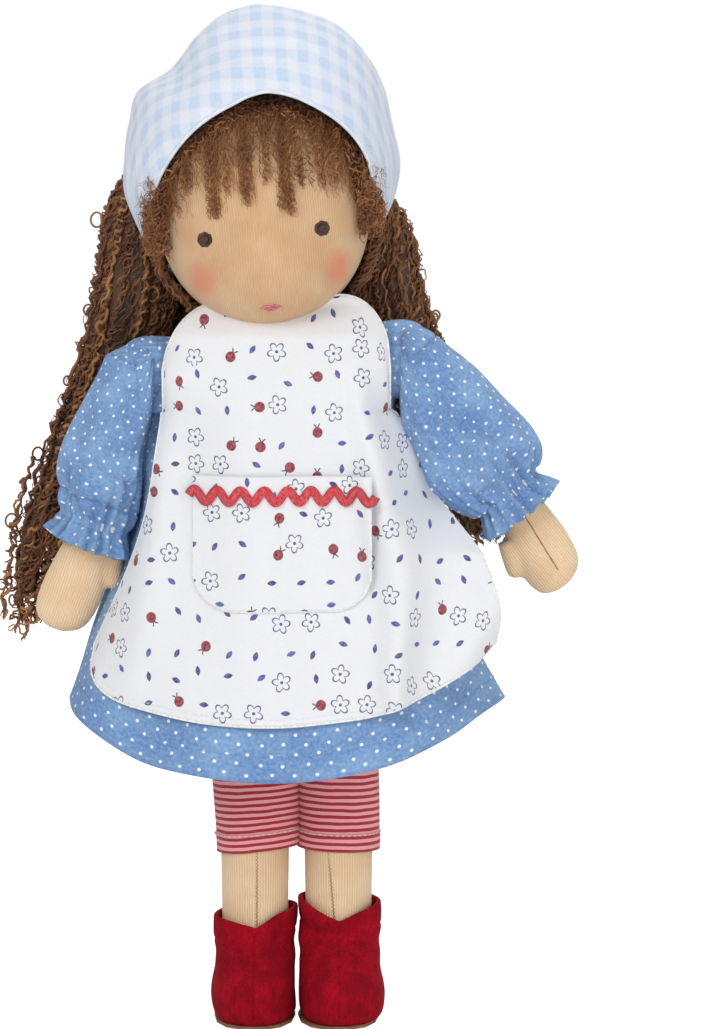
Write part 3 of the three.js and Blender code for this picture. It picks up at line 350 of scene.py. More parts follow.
def tubes_piece(name, tubes, material):
    """Many tubes in one mesh; a UV runs along each, with its own number across."""
    points, faces, uvs = [], [], []
    start = 0
    for number, rings in enumerate(tubes):
        count, across = rings.shape[:2]
        points.append(rings.reshape(-1, 3))
        steps = np.linalg.norm(np.diff(rings.mean(axis=1), axis=0), axis=1)
        down = np.concatenate(([0], np.cumsum(steps)))
        for i in range(count - 1):
            for j in range(across):
                k = (j + 1) % across
                a = start + i * across
                faces.append((a + j, a + k, a + across + k, a + across + j))
                uvs += [
                    (number, down[i]), (number, down[i]), (number, down[i + 1]),
                    (number, down[i + 1])
                ]
        last = start + (count - 1) * across
        faces.append(tuple(start + across - 1 - j for j in range(across)))
        faces.append(tuple(last + j for j in range(across)))
        uvs += [(number, 0)] * across + [(number, down[-1])] * across
        start += count * across
    return piece(name, np.concatenate(points), faces, uvs, material)


# Materials: colours are sRGB hex values, and patterns are in millimetres of cloth
def linear(colour):
    values = [int(colour[i : i + 2], 16) / 255 for i in (1, 3, 5)]
    return [v / 12.92 if v <= 0.04045 else ((v + 0.055) / 1.055) ** 2.4 for v in values] + [1.0]


def add(tree, kind, settings=None, links=None):
    """Adds a node with its settings and its inputs.

    A socket is linked, and anything else is the input's value.
    """
    node = tree.nodes.new("ShaderNode" + kind)
    for name, value in (settings or {}).items():
        setattr(node, name, value)
    for name, value in (links or {}).items():
        if isinstance(value, bpy.types.NodeSocket):
            tree.links.new(value, node.inputs[name])
        else:
            node.inputs[name].default_value = value
    return node


def new_material(name, **values):
    material = bpy.data.materials.new(name)
    material.use_nodes = True
    tree = material.node_tree
    shader = tree.nodes["Principled BSDF"]
    for socket, value in values.items():
        shader.inputs[socket.replace("_", " ")].default_value = value
    return material, tree, shader


def math_node(tree, operation, a, b=0.0, c=0.0):
    return add(tree, "Math", {"operation": operation}, {0: a, 1: b, 2: c}).outputs[0]


def mixed(tree, share, a, b):
    """A mix of two colours, each a socket, a list of four numbers or an sRGB hex value."""
    a, b = [linear(colour) if isinstance(colour, str) else colour for colour in (a, b)]
    links = {0: share, 6: a, 7: b}
    return add(tree, "Mix", {"data_type": "RGBA"}, links).outputs[2]


def stepped(tree, value, low, high, to_low=0.0, to_high=1.0):
    links = {"Value": value, "From Min": low, "From Max": high, "To Min": to_low, "To Max": to_high}
    return add(tree, "MapRange", {"interpolation_type": "SMOOTHSTEP"}, links).outputs[0]


matt_cloth = {"Roughness": 0.85, "Sheen_Weight": 0.15, "Sheen_Roughness": 0.5}


def cloth_parts(tree):
    uv = add(tree, "UVMap", {"uv_map": "cloth"}).outputs[0]
    parts = add(tree, "SeparateXYZ", links={0: uv}).outputs
    return uv, parts[0], parts[1]


def noise_of(tree, vector, scale, detail=2.0, rough=0.5):
    links = {"Vector": vector, "Scale": scale, "Detail": detail, "Roughness": rough}
    return add(tree, "TexNoise", links=links).outputs[0]


def weave_height(tree, u, v, spacing):
    """Plain weave: two sets of threads that pass over and under each other."""
    return math_node(tree, "MULTIPLY", wave_of(tree, u, spacing), wave_of(tree, v, spacing))


def bumped(tree, shader, height, distance):
    links = {"Height": height, "Distance": distance / 1000, "Strength": 1.0}
    tree.links.new(add(tree, "Bump", links=links).outputs[0], shader.inputs["Normal"])


def coloured(tree, shader, share, a, b):
    tree.links.new(mixed(tree, share, a, b), shader.inputs["Base Color"])


def wave_of(tree, value, pitch):
    return math_node(tree, "SINE", math_node(tree, "MULTIPLY", value, 2 * math.pi / pitch))


def woven_cotton(name, colour_of, thread=0.55, depth=0.05):
    """Plain-woven cotton: matt, with a slight fuzz.

    Its 0.3 mm threads are drawn at 0.55 mm so that they show.
    """
    material, tree, shader = new_material(name, **matt_cloth)
    uv, u, v = cloth_parts(tree)
    weave = weave_height(tree, u, v, thread)
    slub = noise_of(tree, uv, 0.9, 3.0)
    colour = colour_of(tree, uv, u, v)
    worn = mixed(tree, stepped(tree, slub, 0.3, 0.75, 0.0, 0.16), colour, "#ffffff")
    # painted shade: the weave's low places are darkened towards navy
    painted_weave_shade = stepped(tree, weave, -1.0, 1.0, 0.1, 0.0)
    coloured(tree, shader, painted_weave_shade, worn, "#2b3350")
    bumped(
        tree, shader, math_node(tree, "ADD", weave, math_node(tree, "MULTIPLY", slub, 1.5)), depth
    )
    return material


def pin_dots(tree, uv, u, v):
    """White dots of 1 mm, each a little out of place.

    They lie 4.5 mm apart in a square that stands on its corner.
    """
    links = {"Vector": uv, "Rotation": (0, 0, math.radians(45)), "Scale": (1 / 4.5, 1 / 4.5, 1)}
    place = add(tree, "Mapping", {"vector_type": "POINT"}, links).outputs[0]
    cells = {"Vector": place, "Scale": 1.0, "Randomness": 0.22}
    spot = add(tree, "TexVoronoi", {"voronoi_dimensions": "2D"}, cells).outputs["Distance"]
    mask = stepped(tree, spot, 0.095, 0.135, 1.0, 0.0)
    # painted shade and light: the blue is darker and lighter in broad patches that stand in for the
    # cloth's soft folds
    patches = noise_of(tree, uv, 0.05, 3.0)
    shaded_ground = mixed(tree, stepped(tree, patches, 0.35, 0.7), "#5a89c2", "#78a5d4")
    return mixed(tree, mask, shaded_ground, "#f3f8ff")


def gingham(tree, uv, u, v):
    """Checks that repeat every 8.4 mm.

    They are white where two white bands cross, and pale or full blue elsewhere.
    """
    bands = []
    for part in (u, v):
        wave = math_node(tree, "PINGPONG", part, 4.2)
        bands.append(stepped(tree, wave, 1.45, 2.75))
    both = math_node(tree, "MULTIPLY", math_node(tree, "ADD", *bands), 0.5)
    blue = mixed(tree, stepped(tree, both, 0.5, 1.0), "#d9e3f3", "#c6d8ef")
    return mixed(tree, stepped(tree, both, 0.0, 0.5), "#e6eaf5", blue)


def flower_print(tree, uv, u, v):
    """Small motifs scattered about 11 mm apart on white.

    They are outlined flowers, indigo seeds and dark red berries.
    """
    size = 10.8
    place = add(tree, "Mapping", links={"Vector": uv, "Scale": (1 / size, 1 / size, 1)}).outputs[0]
    cells = {"Vector": place, "Scale": 1.0, "Randomness": 0.5}
    voronoi = add(tree, "TexVoronoi", {"voronoi_dimensions": "2D"}, cells).outputs
    local = add(
        tree, "VectorMath", {"operation": "SUBTRACT"}, {0: place, 1: voronoi["Position"]}
    ).outputs[0]
    grown = add(tree, "VectorMath", {"operation": "SCALE"}, {0: local, "Scale": size}).outputs[0]
    chance = add(tree, "SeparateColor", links={0: voronoi["Color"]}).outputs
    angle = math_node(tree, "MULTIPLY", chance[1], 2 * math.pi)
    rotated = add(
        tree, "VectorRotate", {"rotation_type": "Z_AXIS"}, {"Vector": grown, "Angle": angle}
    ).outputs[0]
    x, y, _ = add(tree, "SeparateXYZ", links={0: rotated}).outputs
    far = add(tree, "VectorMath", {"operation": "LENGTH"}, {0: rotated}).outputs["Value"]
    # seed: a lens 2 mm wide and 3.8 mm long
    length = math_node(tree, "DIVIDE", math_node(tree, "ABSOLUTE", y), 1.9)
    bulge = math_node(tree, "SUBTRACT", 1.0, math_node(tree, "POWER", length, 2.0))
    lens = math_node(tree, "SUBTRACT", bulge, math_node(tree, "ABSOLUTE", x))
    seed = stepped(tree, lens, 0.0, 0.12)
    # flower: the outline of five petals about 6.8 mm across, with a dot in the middle
    turn = math_node(tree, "ARCTAN2", y, x)
    lobes = math_node(
        tree, "ABSOLUTE", math_node(tree, "COSINE", math_node(tree, "MULTIPLY", turn, 2.5))
    )
    edge = math_node(tree, "MULTIPLY_ADD", lobes, 1.7, 1.7)
    outline = math_node(tree, "ABSOLUTE", math_node(tree, "SUBTRACT", far, edge))
    petals = stepped(tree, outline, 0.2, 0.36, 1.0, 0.0)
    dot = stepped(tree, far, 0.5, 0.7, 1.0, 0.0)
    flower = math_node(tree, "MAXIMUM", petals, dot)
    # berry: a disc 4 mm across with a small forked stem
    berry = stepped(tree, far, 1.85, 2.05, 1.0, 0.0)
    lean = math_node(tree, "MULTIPLY", math_node(tree, "SUBTRACT", y, 1.6), 0.7)
    fork = math_node(tree, "SUBTRACT", math_node(tree, "ABSOLUTE", x), lean)
    fork = math_node(tree, "ABSOLUTE", fork)
    stalk = stepped(tree, fork, 0.22, 0.36, 1.0, 0.0)
    above = math_node(
        tree, "MULTIPLY", stepped(tree, y, 1.6, 1.75), stepped(tree, y, 3.1, 3.3, 1.0, 0.0)
    )
    stem = math_node(tree, "MULTIPLY", stalk, above)
    white = linear("#edeef1")
    kind = chance[0]
    is_flower = math_node(tree, "LESS_THAN", kind, 0.27)
    is_berry = math_node(tree, "GREATER_THAN", kind, 0.83)
    is_seed = math_node(tree, "SUBTRACT", 1.0, math_node(tree, "ADD", is_flower, is_berry))
    two_blues = mixed(tree, chance[2], "#34367c", "#4459ae")
    out = mixed(tree, math_node(tree, "MULTIPLY", seed, is_seed), white, two_blues)
    out = mixed(tree, math_node(tree, "MULTIPLY", flower, is_flower), out, "#3f407f")
    out = mixed(tree, math_node(tree, "MULTIPLY", berry, is_berry), out, "#8f1826")
    return mixed(tree, math_node(tree, "MULTIPLY", stem, is_berry), out, "#2b2230")


def plain(colour):
    return lambda tree, uv, u, v: linear(colour)


def tricot(name, deep, pale, blush=False):
    """Cotton tricot stretched over wool: matt, with fine upright ribs 0.95 mm apart.

    Its stitches repeat every 0.8 mm, and the face has a warm tint rubbed on the cheeks.
    """
    material, tree, shader = new_material(
        name, Roughness=0.82, Sheen_Weight=0.2, Sheen_Roughness=0.5
    )
    uv, u, v = cloth_parts(tree)
    wander = math_node(tree, "MULTIPLY", noise_of(tree, uv, 0.12, 2.0), 1.2)
    rib = wave_of(tree, math_node(tree, "ADD", u, wander), 0.95)
    stitch = wave_of(tree, v, 0.8)
    knit = math_node(tree, "MULTIPLY_ADD", math_node(tree, "MULTIPLY", rib, stitch), 0.35, rib)
    tint = mixed(tree, stepped(tree, noise_of(tree, uv, 0.06, 3.0), 0.3, 0.7), deep, pale)
    # painted shade: the knit's low places are darkened towards brown
    tint = mixed(tree, stepped(tree, knit, -1.2, 0.6, 0.32, 0.0), tint, "#b98a5c")
    if blush:
        for x, y in ((-26.8, 18.6), (28.8, 18.2)):
            centre = {0: uv, 1: (x, y, 0)}
            away = add(tree, "VectorMath", {"operation": "DISTANCE"}, centre).outputs["Value"]
            ragged = math_node(tree, "MULTIPLY_ADD", noise_of(tree, uv, 0.22, 3.0), 4.0, -2.0)
            away = math_node(tree, "ADD", away, ragged)
            mask = stepped(tree, away, 1.0, 10.0, 0.82, 0.0)
            tint = mixed(tree, mask, tint, "#dc8262")
    tree.links.new(tint, shader.inputs["Base Color"])
    bumped(tree, shader, knit, 0.07)
    return material


def striped_jersey(name):
    """Cotton jersey: red and pink stripes that repeat every 2.5 mm, with a fine upright knit."""
    material, tree, shader = new_material(name, **matt_cloth)
    uv, u, v = cloth_parts(tree)
    wander = math_node(tree, "MULTIPLY", noise_of(tree, uv, 0.08, 2.0), 0.9)
    wave = math_node(tree, "PINGPONG", math_node(tree, "ADD", v, wander), 1.25)
    stripe = stepped(tree, wave, 0.5, 0.72)
    colour = mixed(tree, stripe, "#a82038", "#f4a8a6")
    knit = wave_of(tree, u, 0.8)
    # painted shade: the knit's low places are darkened towards deep red
    coloured(tree, shader, stepped(tree, knit, -1, 1, 0.1, 0.0), colour, "#5c1020")
    bumped(tree, shader, knit, 0.05)
    return material


def velour(name):
    """Cotton velour: a short dense pile with brushed patches.

    Painted shade darkens it where the pile lies low, and its sheen makes it lighter at its edges.
    """
    pile_light = {"Sheen_Weight": 0.1, "Sheen_Roughness": 0.35, "Sheen_Tint": linear("#e01838")}
    material, tree, shader = new_material(
        name, Roughness=1.0, Specular_IOR_Level=0.12, **pile_light
    )
    place = add(tree, "TexCoord").outputs["Object"]
    upright = add(tree, "Mapping", links={"Vector": place, "Scale": (1, 1, 0.16)}).outputs[0]
    brushed = noise_of(tree, place, 110.0, 3.0, 0.6)
    streaks = math_node(tree, "MULTIPLY", noise_of(tree, upright, 1100.0, 2.0), 0.5)
    pile = math_node(tree, "MULTIPLY_ADD", noise_of(tree, place, 1600.0, 2.0), 0.5, streaks)
    colour = mixed(tree, stepped(tree, brushed, 0.35, 0.68), "#900a1c", "#b00d22")
    # painted shade: where the pile lies low it is darkened towards deep red
    coloured(tree, shader, stepped(tree, pile, 0.36, 0.62, 0.45, 0.0), colour, "#5c0613")
    bumped(
        tree, shader, math_node(tree, "ADD", pile, math_node(tree, "MULTIPLY", brushed, 2.0)), 0.35
    )
    return material


def mohair(name, dark, middle, light):
    """Curly mohair yarn with a soft shine.

    Each strand has its own brown.
    """
    material, tree, shader = new_material(
        name, Roughness=0.6, Sheen_Weight=0.08, Sheen_Roughness=0.4
    )
    u = cloth_parts(tree)[1]
    own = add(
        tree, "TexWhiteNoise", {"noise_dimensions": "1D"}, {"W": math_node(tree, "FLOOR", u)}
    ).outputs[0]
    place = add(tree, "TexCoord").outputs["Object"]
    patches = noise_of(tree, place, 60.0, 3.0)
    mix = math_node(
        tree, "ADD", math_node(tree, "MULTIPLY", own, 0.55),
        math_node(tree, "MULTIPLY", patches, 0.6)
    )
    colour = mixed(tree, stepped(tree, mix, 0.25, 0.62), dark, middle)
    colour = mixed(tree, stepped(tree, mix, 0.6, 0.95), colour, light)
    tree.links.new(colour, shader.inputs["Base Color"])
    bumped(tree, shader, noise_of(tree, place, 1500.0, 2.0), 0.25)
    return material


def spun_thread(name, colour, shade):
    """Stranded embroidery cotton: smooth, with a fine twist.

    It has the slight shine of mercerised thread.
    """
    material, tree, shader = new_material(name, Roughness=0.5, Sheen_Weight=0.1)
    place = add(tree, "TexCoord").outputs["Object"]
    twist = noise_of(tree, place, 900.0, 2.0)
    # painted shade: the twist's grooves take the darker colour
    coloured(tree, shader, stepped(tree, twist, 0.35, 0.65), shade, colour)
    bumped(tree, shader, twist, 0.1)
    return material


def carded_wool(name):
    """Carded sheep's wool: off-white, cloudy and quite matt."""
    material, tree, shader = new_material(name, Roughness=1.0, Sheen_Weight=0.3)
    place = add(tree, "TexCoord").outputs["Object"]
    cloud = noise_of(tree, place, 300.0, 5.0, 0.7)
    coloured(tree, shader, cloud, "#e2d8c2", "#f6f1e4")
    bumped(tree, shader, cloud, 0.6)
    return material


def sole_leather(name):
    """Vegetable-tanned leather: brown, fine-grained, half matt."""
    material, tree, shader = new_material(name, Roughness=0.6)
    place = add(tree, "TexCoord").outputs["Object"]
    cells = {"Vector": place, "Scale": 900.0}
    pores = add(tree, "TexVoronoi", links=cells).outputs["Distance"]
    coloured(tree, shader, pores, "#7d4c3a", "#96644e")
    bumped(tree, shader, pores, 0.12)
    return material


def moulded_button(name):
    """Cast polyester button: off-white, glossy, with a faint cloud."""
    material, tree, shader = new_material(name, Roughness=0.25, IOR=1.55)
    place = add(tree, "TexCoord").outputs["Object"]
    cloud = noise_of(tree, place, 200.0, 2.0)
    coloured(tree, shader, cloud, "#e9e4d8", "#f7f4ec")
    return material


def knitted_elastic(name):
    """Flat elastic: white cords of rubber 1 mm apart, covered with polyester."""
    material, tree, shader = new_material(name, Roughness=0.6)
    place = add(tree, "TexCoord").outputs["Object"]
    height = add(tree, "SeparateXYZ", links={0: place}).outputs[2]
    cords = wave_of(tree, height, 0.001)
    # painted shade: grey between the white cords
    coloured(tree, shader, stepped(tree, cords, -1, 1), "#d8d8d8", "#f2f2f2")
    bumped(tree, shader, cords, 0.1)
    return material


# The face's tricot is a darker copy of the body's: painted shade from the scarf and fringe, with a
# rubbed blush on the cheeks.
face_tricot_shaded = tricot("cotton_tricot_face_shaded", "#cfa57b", "#dab78e", True)
body_tricot = tricot("cotton_tricot", "#e6c49c", "#efd2ae")
wool = carded_wool("carded_wool")
dotted_cotton = woven_cotton("pin_dot_cotton", pin_dots)
printed_cotton = woven_cotton("printed_cotton", flower_print, depth=0.04)
checked_cotton = woven_cotton("gingham_cotton", gingham, depth=0.04)
braid_cotton = woven_cotton("rickrack_cotton", plain("#dc1029"), 0.9, 0.12)
jersey = striped_jersey("striped_jersey")
boot_velour = velour("cotton_velour")
leather = sole_leather("vegetable_tanned_leather")
hair_mohair = mohair("mohair_yarn", "#4e2d19", "#82512c", "#b47f4b")
# a darker copy of the yarn for the back hair, as painted shade
painted_shade_mohair = mohair("mohair_yarn_painted_shade", "#3c2413", "#65401f", "#8c6038")
frizz_mohair = mohair("mohair_yarn_frizz", "#4f2d18", "#7e4f2b", "#ab7645")
fringe_mohair = mohair("mohair_yarn_fringe", "#72411f", "#a06537", "#cc915c")
# dark yarn under the strands and in the wig cap: painted shade between the strands
shade_base_mohair = mohair("mohair_yarn_shade_base", "#301c0f", "#472d1a", "#5e3d24")
eye_thread = spun_thread("embroidery_cotton_brown", "#4f2e1d", "#2f190e")
lip_thread = spun_thread("embroidery_cotton_pink", "#d98489", "#bf6570")
white_thread = spun_thread("sewing_thread_white", "#f4f4f2", "#dcdcd8")
blue_thread = spun_thread("sewing_thread_blue", "#86b0e0", "#5b86bd")
red_thread = spun_thread("sewing_thread_red", "#c0283f", "#8d1527")
rose_thread = spun_thread("sewing_thread_rose", "#f7e2dd", "#efc9c4")
tan_thread = spun_thread("sewing_thread_tan", "#a07a50", "#77562f")
button_gloss = moulded_button("polyester_button")
elastic = knitted_elastic("knitted_elastic")


# Body forms: rings up a table of sections, as the solids have them
torso_shares = [
    (0, 0.7, 0.7), (0.04, 0.87, 0.89), (0.18, 0.925, 1), (0.37, 0.9, 0.96), (0.56, 0.9, 0.935),
    (0.745, 0.975, 0.915), (0.85, 1, 0.87), (0.915, 0.82, 0.76), (0.962, 0.56, 0.66),
    (1, 0.343, 0.604)
]


def torso_rows(by):
    steps = 40
    rows = []
    for i in range(steps + 1):
        rise = i / steps
        wide, deep = curve_through(torso_shares, rise)
        x = lerp(torso_x[0], torso_x[1], rise)
        z = (
            torso_bottom + rise * (torso_top - torso_bottom)
            + (-by if i == 0 else by if i == steps else 0)
        )
        rows.append(oval(x, 0, z, wide * 40.5 + by, deep * 23 + by, 56, 2.2))
    return rows


def make_torso():
    for name, by, material in (("torso_skin", -0.3, body_tricot), ("torso_stuffing", -1.4, wool)):
        obj = form_piece(name + "_form", torso_rows(by), material)
        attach(obj, "torso")
        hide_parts(name)
    seat_foot, seat_top = torso_bottom + 0.6, torso_bottom + 34.5
    rows = [row for row in torso_rows(0.5) if seat_foot < row[0][2] < seat_top]
    seat = sheet_piece("legging_seat_cloth", rows, 0.8, jersey, around=True)
    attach(seat, "torso")
    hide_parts("legging_seat")


def leg_rows(side, by):
    """Rings down the leg and forward into the foot.

    Each ring leans as the spine turns at the ankle.
    """
    spine = [
        # height, forward, lean in degrees, half width, half depth
        (154.1 + by, 0, 0, 6.0 + by, 1.8 + by), (153.4, 0, 0, 8.6 + by, 4.6 + by),
        (150.5, 0, 0, 11.2 + by, 8.8 + by),
        (146, 0, 0, 12.7 + by, 11.9 + by), (140, 0, 0, 13.2 + by, 13.2 + by),
        (120, 0, 0, 13.3 + by, 13.3 + by),
        (100, 0, 0, 13.2 + by, 13.2 + by), (80, 0, 0, 13.0 + by, 13.0 + by),
        (62, 0, 0, 12.8 + by, 12.8 + by),
        (45, 0, 0, 12.5 + by, 12.5 + by), (32, -0.2, 8, 12.5 + by, 12.6 + by),
        (23, -3.5, 38, 12.5 + by, 12.6 + by),
        (16.5, -10, 68, 12.8 + by, 10.9 + by), (14, -18, 84, 12.8 + by, 9.6 + by),
        (13, -25, 90, 11.8 + by, 8.8 + by), (12.4, -30, 90, 9.0 + by, 7.0 + by),
        (12, -32.6 - by, 90, 4.4 + by, 3.8 + by),
    ]
    keys = [(i / (len(spine) - 1), *row) for i, row in enumerate(spine)]
    rows = []
    for i in range(85):
        height, forward, lean, half, deep = curve_through(keys, i / 84)
        turns = circle_turns(40)
        u, v = half * np.cos(turns), deep * np.sin(turns)
        angle = math.radians(lean)
        x = leg_x[side] + u
        y = forward + v * math.cos(angle)
        z = height + v * math.sin(angle)
        rows.append(np.stack((x, y, np.maximum(z, 3.2 - by)), axis=1))
    return rows[::-1]


def make_leg(side):
    body = "leg_" + side
    for name, by, material in (("skin", 0.0, body_tricot), ("stuffing", -1.2, wool)):
        rows = leg_rows(side, by)
        uv = lengths(rows, True)
        obj = form_piece(f"leg_{side}_{name}_form", rows, material, uv)
        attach(obj, body)
        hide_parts(f"leg_{side}_{name}")
    # front seam of the leg: a zigzag of small stitches from the boot to the leggings
    low, high = {"right": (0.8, 1.0), "left": (-1.1, -3.9)}[side]
    seam = []
    for i in range(46):
        share = i / 45
        aside = lerp(low, high, share) + 0.3 * (-1) ** i
        seam.append((leg_x[side] + aside, -math.sqrt(12.68**2 - aside**2), lerp(33, 64, share)))
    stitches = tubes_piece(f"leg_seam_{side}", [tube(seam, 0.17, 6)], tan_thread)
    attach(stitches, body)
    make_legging(side)
    make_boot(side)


def legging_rows(side, low, high, by, steps):
    half = legging_half[side]
    rows = []
    for i in range(steps + 1):
        z = lerp(low, high, i / steps)
        rise = min(1.0, (z - legging_hem) / 18)
        swell = 0.5 * math.sin((z - legging_hem) * 0.09) * (1 if side == "right" else 0.4)
        a = half + (0.3 if side == "right" else 0.9) + by + swell * 0.4
        b = hip_radius - 0.5 - 0.5 * (1 - rise) + by
        row = oval(leg_x[side], 0, z, a, b, 72)
        for point in row:
            turn = math.atan2(point[1], point[0] - leg_x[side])
            ripple = 0.35 * math.sin(3 * turn + z * 0.11) * (1 - abs(2 * i / steps - 1) ** 4)
            point[0] += ripple * math.cos(turn) * 0.6
            point[1] += ripple * math.sin(turn) * 0.6
            if side == "right" and math.cos(turn) < 0:
                point[0] -= 2.8 * math.cos(turn) * max(0.0, 1 - (z - legging_hem) / 45)
            slant = {"right": 1.4, "left": -0.5}[side]
            point[2] += slant * math.cos(turn) * max(0.0, 1 - (z - legging_hem) / 60)
        rows.append(row)
    return rows


def make_legging(side):
    rows = legging_rows(side, legging_hem, hip_height - 0.3, 0.0, 60)
    tube_cloth = sheet_piece(f"legging_{side}_cloth", rows, 0.7, jersey, around=True, outwards=-1)
    hem = legging_rows(side, legging_hem - 0.2, legging_hem + 6.7, 0.28, 5)
    hem_fold = sheet_piece(f"legging_hem_{side}", hem, 0.6, jersey, around=True, outwards=-1)
    line = legging_rows(side, legging_hem + 6.2, legging_hem + 6.3, 0.5, 1)[0]
    stitches = dashes(f"legging_stitches_{side}", line, 2.2, 0.26, rose_thread)
    for obj in (tube_cloth, hem_fold, stitches):
        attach(obj, "leg_" + side)
    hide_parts("legging_" + side)


def dashes(name, path, step, radius, material, closed=True, share=0.62):
    """Sewing stitches: short rounded dashes along a path."""
    path = np.asarray(path, float)
    if closed:
        path = np.vstack((path, path[:1]))
    steps = np.linalg.norm(np.diff(path, axis=0), axis=1)
    along = np.concatenate(([0], np.cumsum(steps)))
    count = max(2, int(along[-1] / step))
    tubes = []
    for i in range(count):
        at = np.linspace(i, i + share, 4) * along[-1] / count
        points = np.stack([np.interp(at, along, path[:, k]) for k in range(3)], axis=1)
        tubes.append(tube(points, [radius * 0.5, radius, radius, radius * 0.5], 5))
    return tubes_piece(name, tubes, material)


boot_shares = [
    # height, front, back, half width
    (1.5, -34.8, 17.0, 14.3), (3.2, -35.8, 17.8, 15.2), (7, -36.2, 18.4, 15.5),
    (13, -35.7, 18.6, 15.3), (18, -32.8, 18.2, 15.0),
    (22.5, -27, 17.4, 15.1), (26.5, -20.5, 16.5, 15.1), (31, -16.6, 15.8, 15.2),
    (37, -15.8, 15.7, 15.4),
    (46, -16.2, 15.8, 15.6),
]
boot_tops = {
    # place across, height of the top edge
    "right": [
        (-1, 36.4), (-0.5, 35.6), (-0.1, 34.3), (0.02, 33.5), (0.12, 34.6), (0.55, 38.2), (1, 40),
    ],
    "left": [(-1, 43.2), (-0.6, 40.6), (-0.1, 36.8), (0, 36), (0.12, 36.9), (0.6, 39.9), (1, 41.6)],
}


def boot_rows(side, by):
    rows = []
    steps = 46
    tops = boot_tops[side]
    for i in range(steps + 1):
        rise = i / steps
        row = []
        for j in range(96):
            turn = 2 * math.pi * j / 96
            across, front = math.cos(turn), max(0.0, -math.sin(turn))
            top = (
                curve_through(tops, across)[0] if front
                else lerp(tops[0][1], tops[-1][1], (across + 1) / 2)
            )
            z = lerp(1.5, top, rise)
            ahead, behind, half = curve_through(boot_shares, z)
            middle, deep = (ahead + behind) / 2, (behind - ahead) / 2
            u = math.copysign(abs(across) ** (2 / 2.25), across)
            v = math.copysign(abs(math.sin(turn)) ** (2 / 2.25), math.sin(turn))
            outer = max(0.0, across * sides[side])
            bulge = (0.9 if side == "right" else 1.6) * outer * bell((z - 9) / 8)
            crease = 0.7 * math.sin(z * 0.55 + 2 * across) * bell((z - 27) / 7) * (0.4 + front)
            dent = -0.6 * bell(across / 0.05) * front * min(1, max(0, z - 5) / 8)
            hem = 0.35 * math.exp(-(((top - z) / 5) ** 4)) - 0.45 * bell((top - z - 7.8) / 0.8)
            lump = 0.9 * soft_noise(across * 20 + leg_x[side], v * 20, z, 13.0)
            out = by + crease + dent + lump + bulge + hem
            aside = 0.5 if side == "left" else 0.0
            row.append((leg_x[side] + aside + (half + out) * u, middle + (deep + out) * v, z))
        rows.append(np.array(row))
    return rows


def make_boot(side):
    rows = boot_rows(side, 0.0)
    floor = [np.array(rows[0]) * (1 - s) + rows[0].mean(axis=0) * s for s in (0.98, 0.66, 0.33)]
    boot = sheet_piece(
        f"boot_{side}_cloth", floor + rows, 1.9, boot_velour, around=True, outwards=-1
    )
    edge = boot_rows(side, -0.95)[-1]
    rim = tubes_piece(f"boot_rim_{side}", [closed_tube(edge, 0.98, 10)], boot_velour)
    seam = [rows[i][72] + (0, -0.1, 0) for i in range(4, len(rows) - 1)]
    front = tubes_piece(f"boot_seam_{side}", [tube(seam, 0.3, 6)], boot_velour)
    for obj in (boot, rim, front):
        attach(obj, "leg_" + side)
    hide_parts("boot_" + side)
    show_solid("boot_sole_" + side, leather)


# Arms: built hanging down from the shoulder, then swung out
sleeve_bow = {"right": 3.0, "left": 0.0}


def hung(points, side):
    place = (shoulder_x[side], -arm_forward, shoulder_height)
    return moved(points, turned(sides[side] * -arm_hang[side], place))


def lowered(row, side):
    """The right shoulder hangs lower, so what lies above the joint is pressed flatter there."""
    if side == "right":
        row[:, 2] = np.where(row[:, 2] > 246, 246 + (row[:, 2] - 246) * 0.6, row[:, 2])
    return row


def beside_bodice(x, side, gap):
    """Keeps places across a gap away from the bodice's side."""
    plane = dress_x[0] + sides[side] * (bodice_side + gap)
    return np.maximum(x, plane) if side == "left" else np.minimum(x, plane)


thumb_places = {
    # tip, root: aside and drop
    "right": ((15.2, -86.0), (8.6, -74.5)),
    "left": ((17.0, -91.5), (10.2, -79.0)),
}


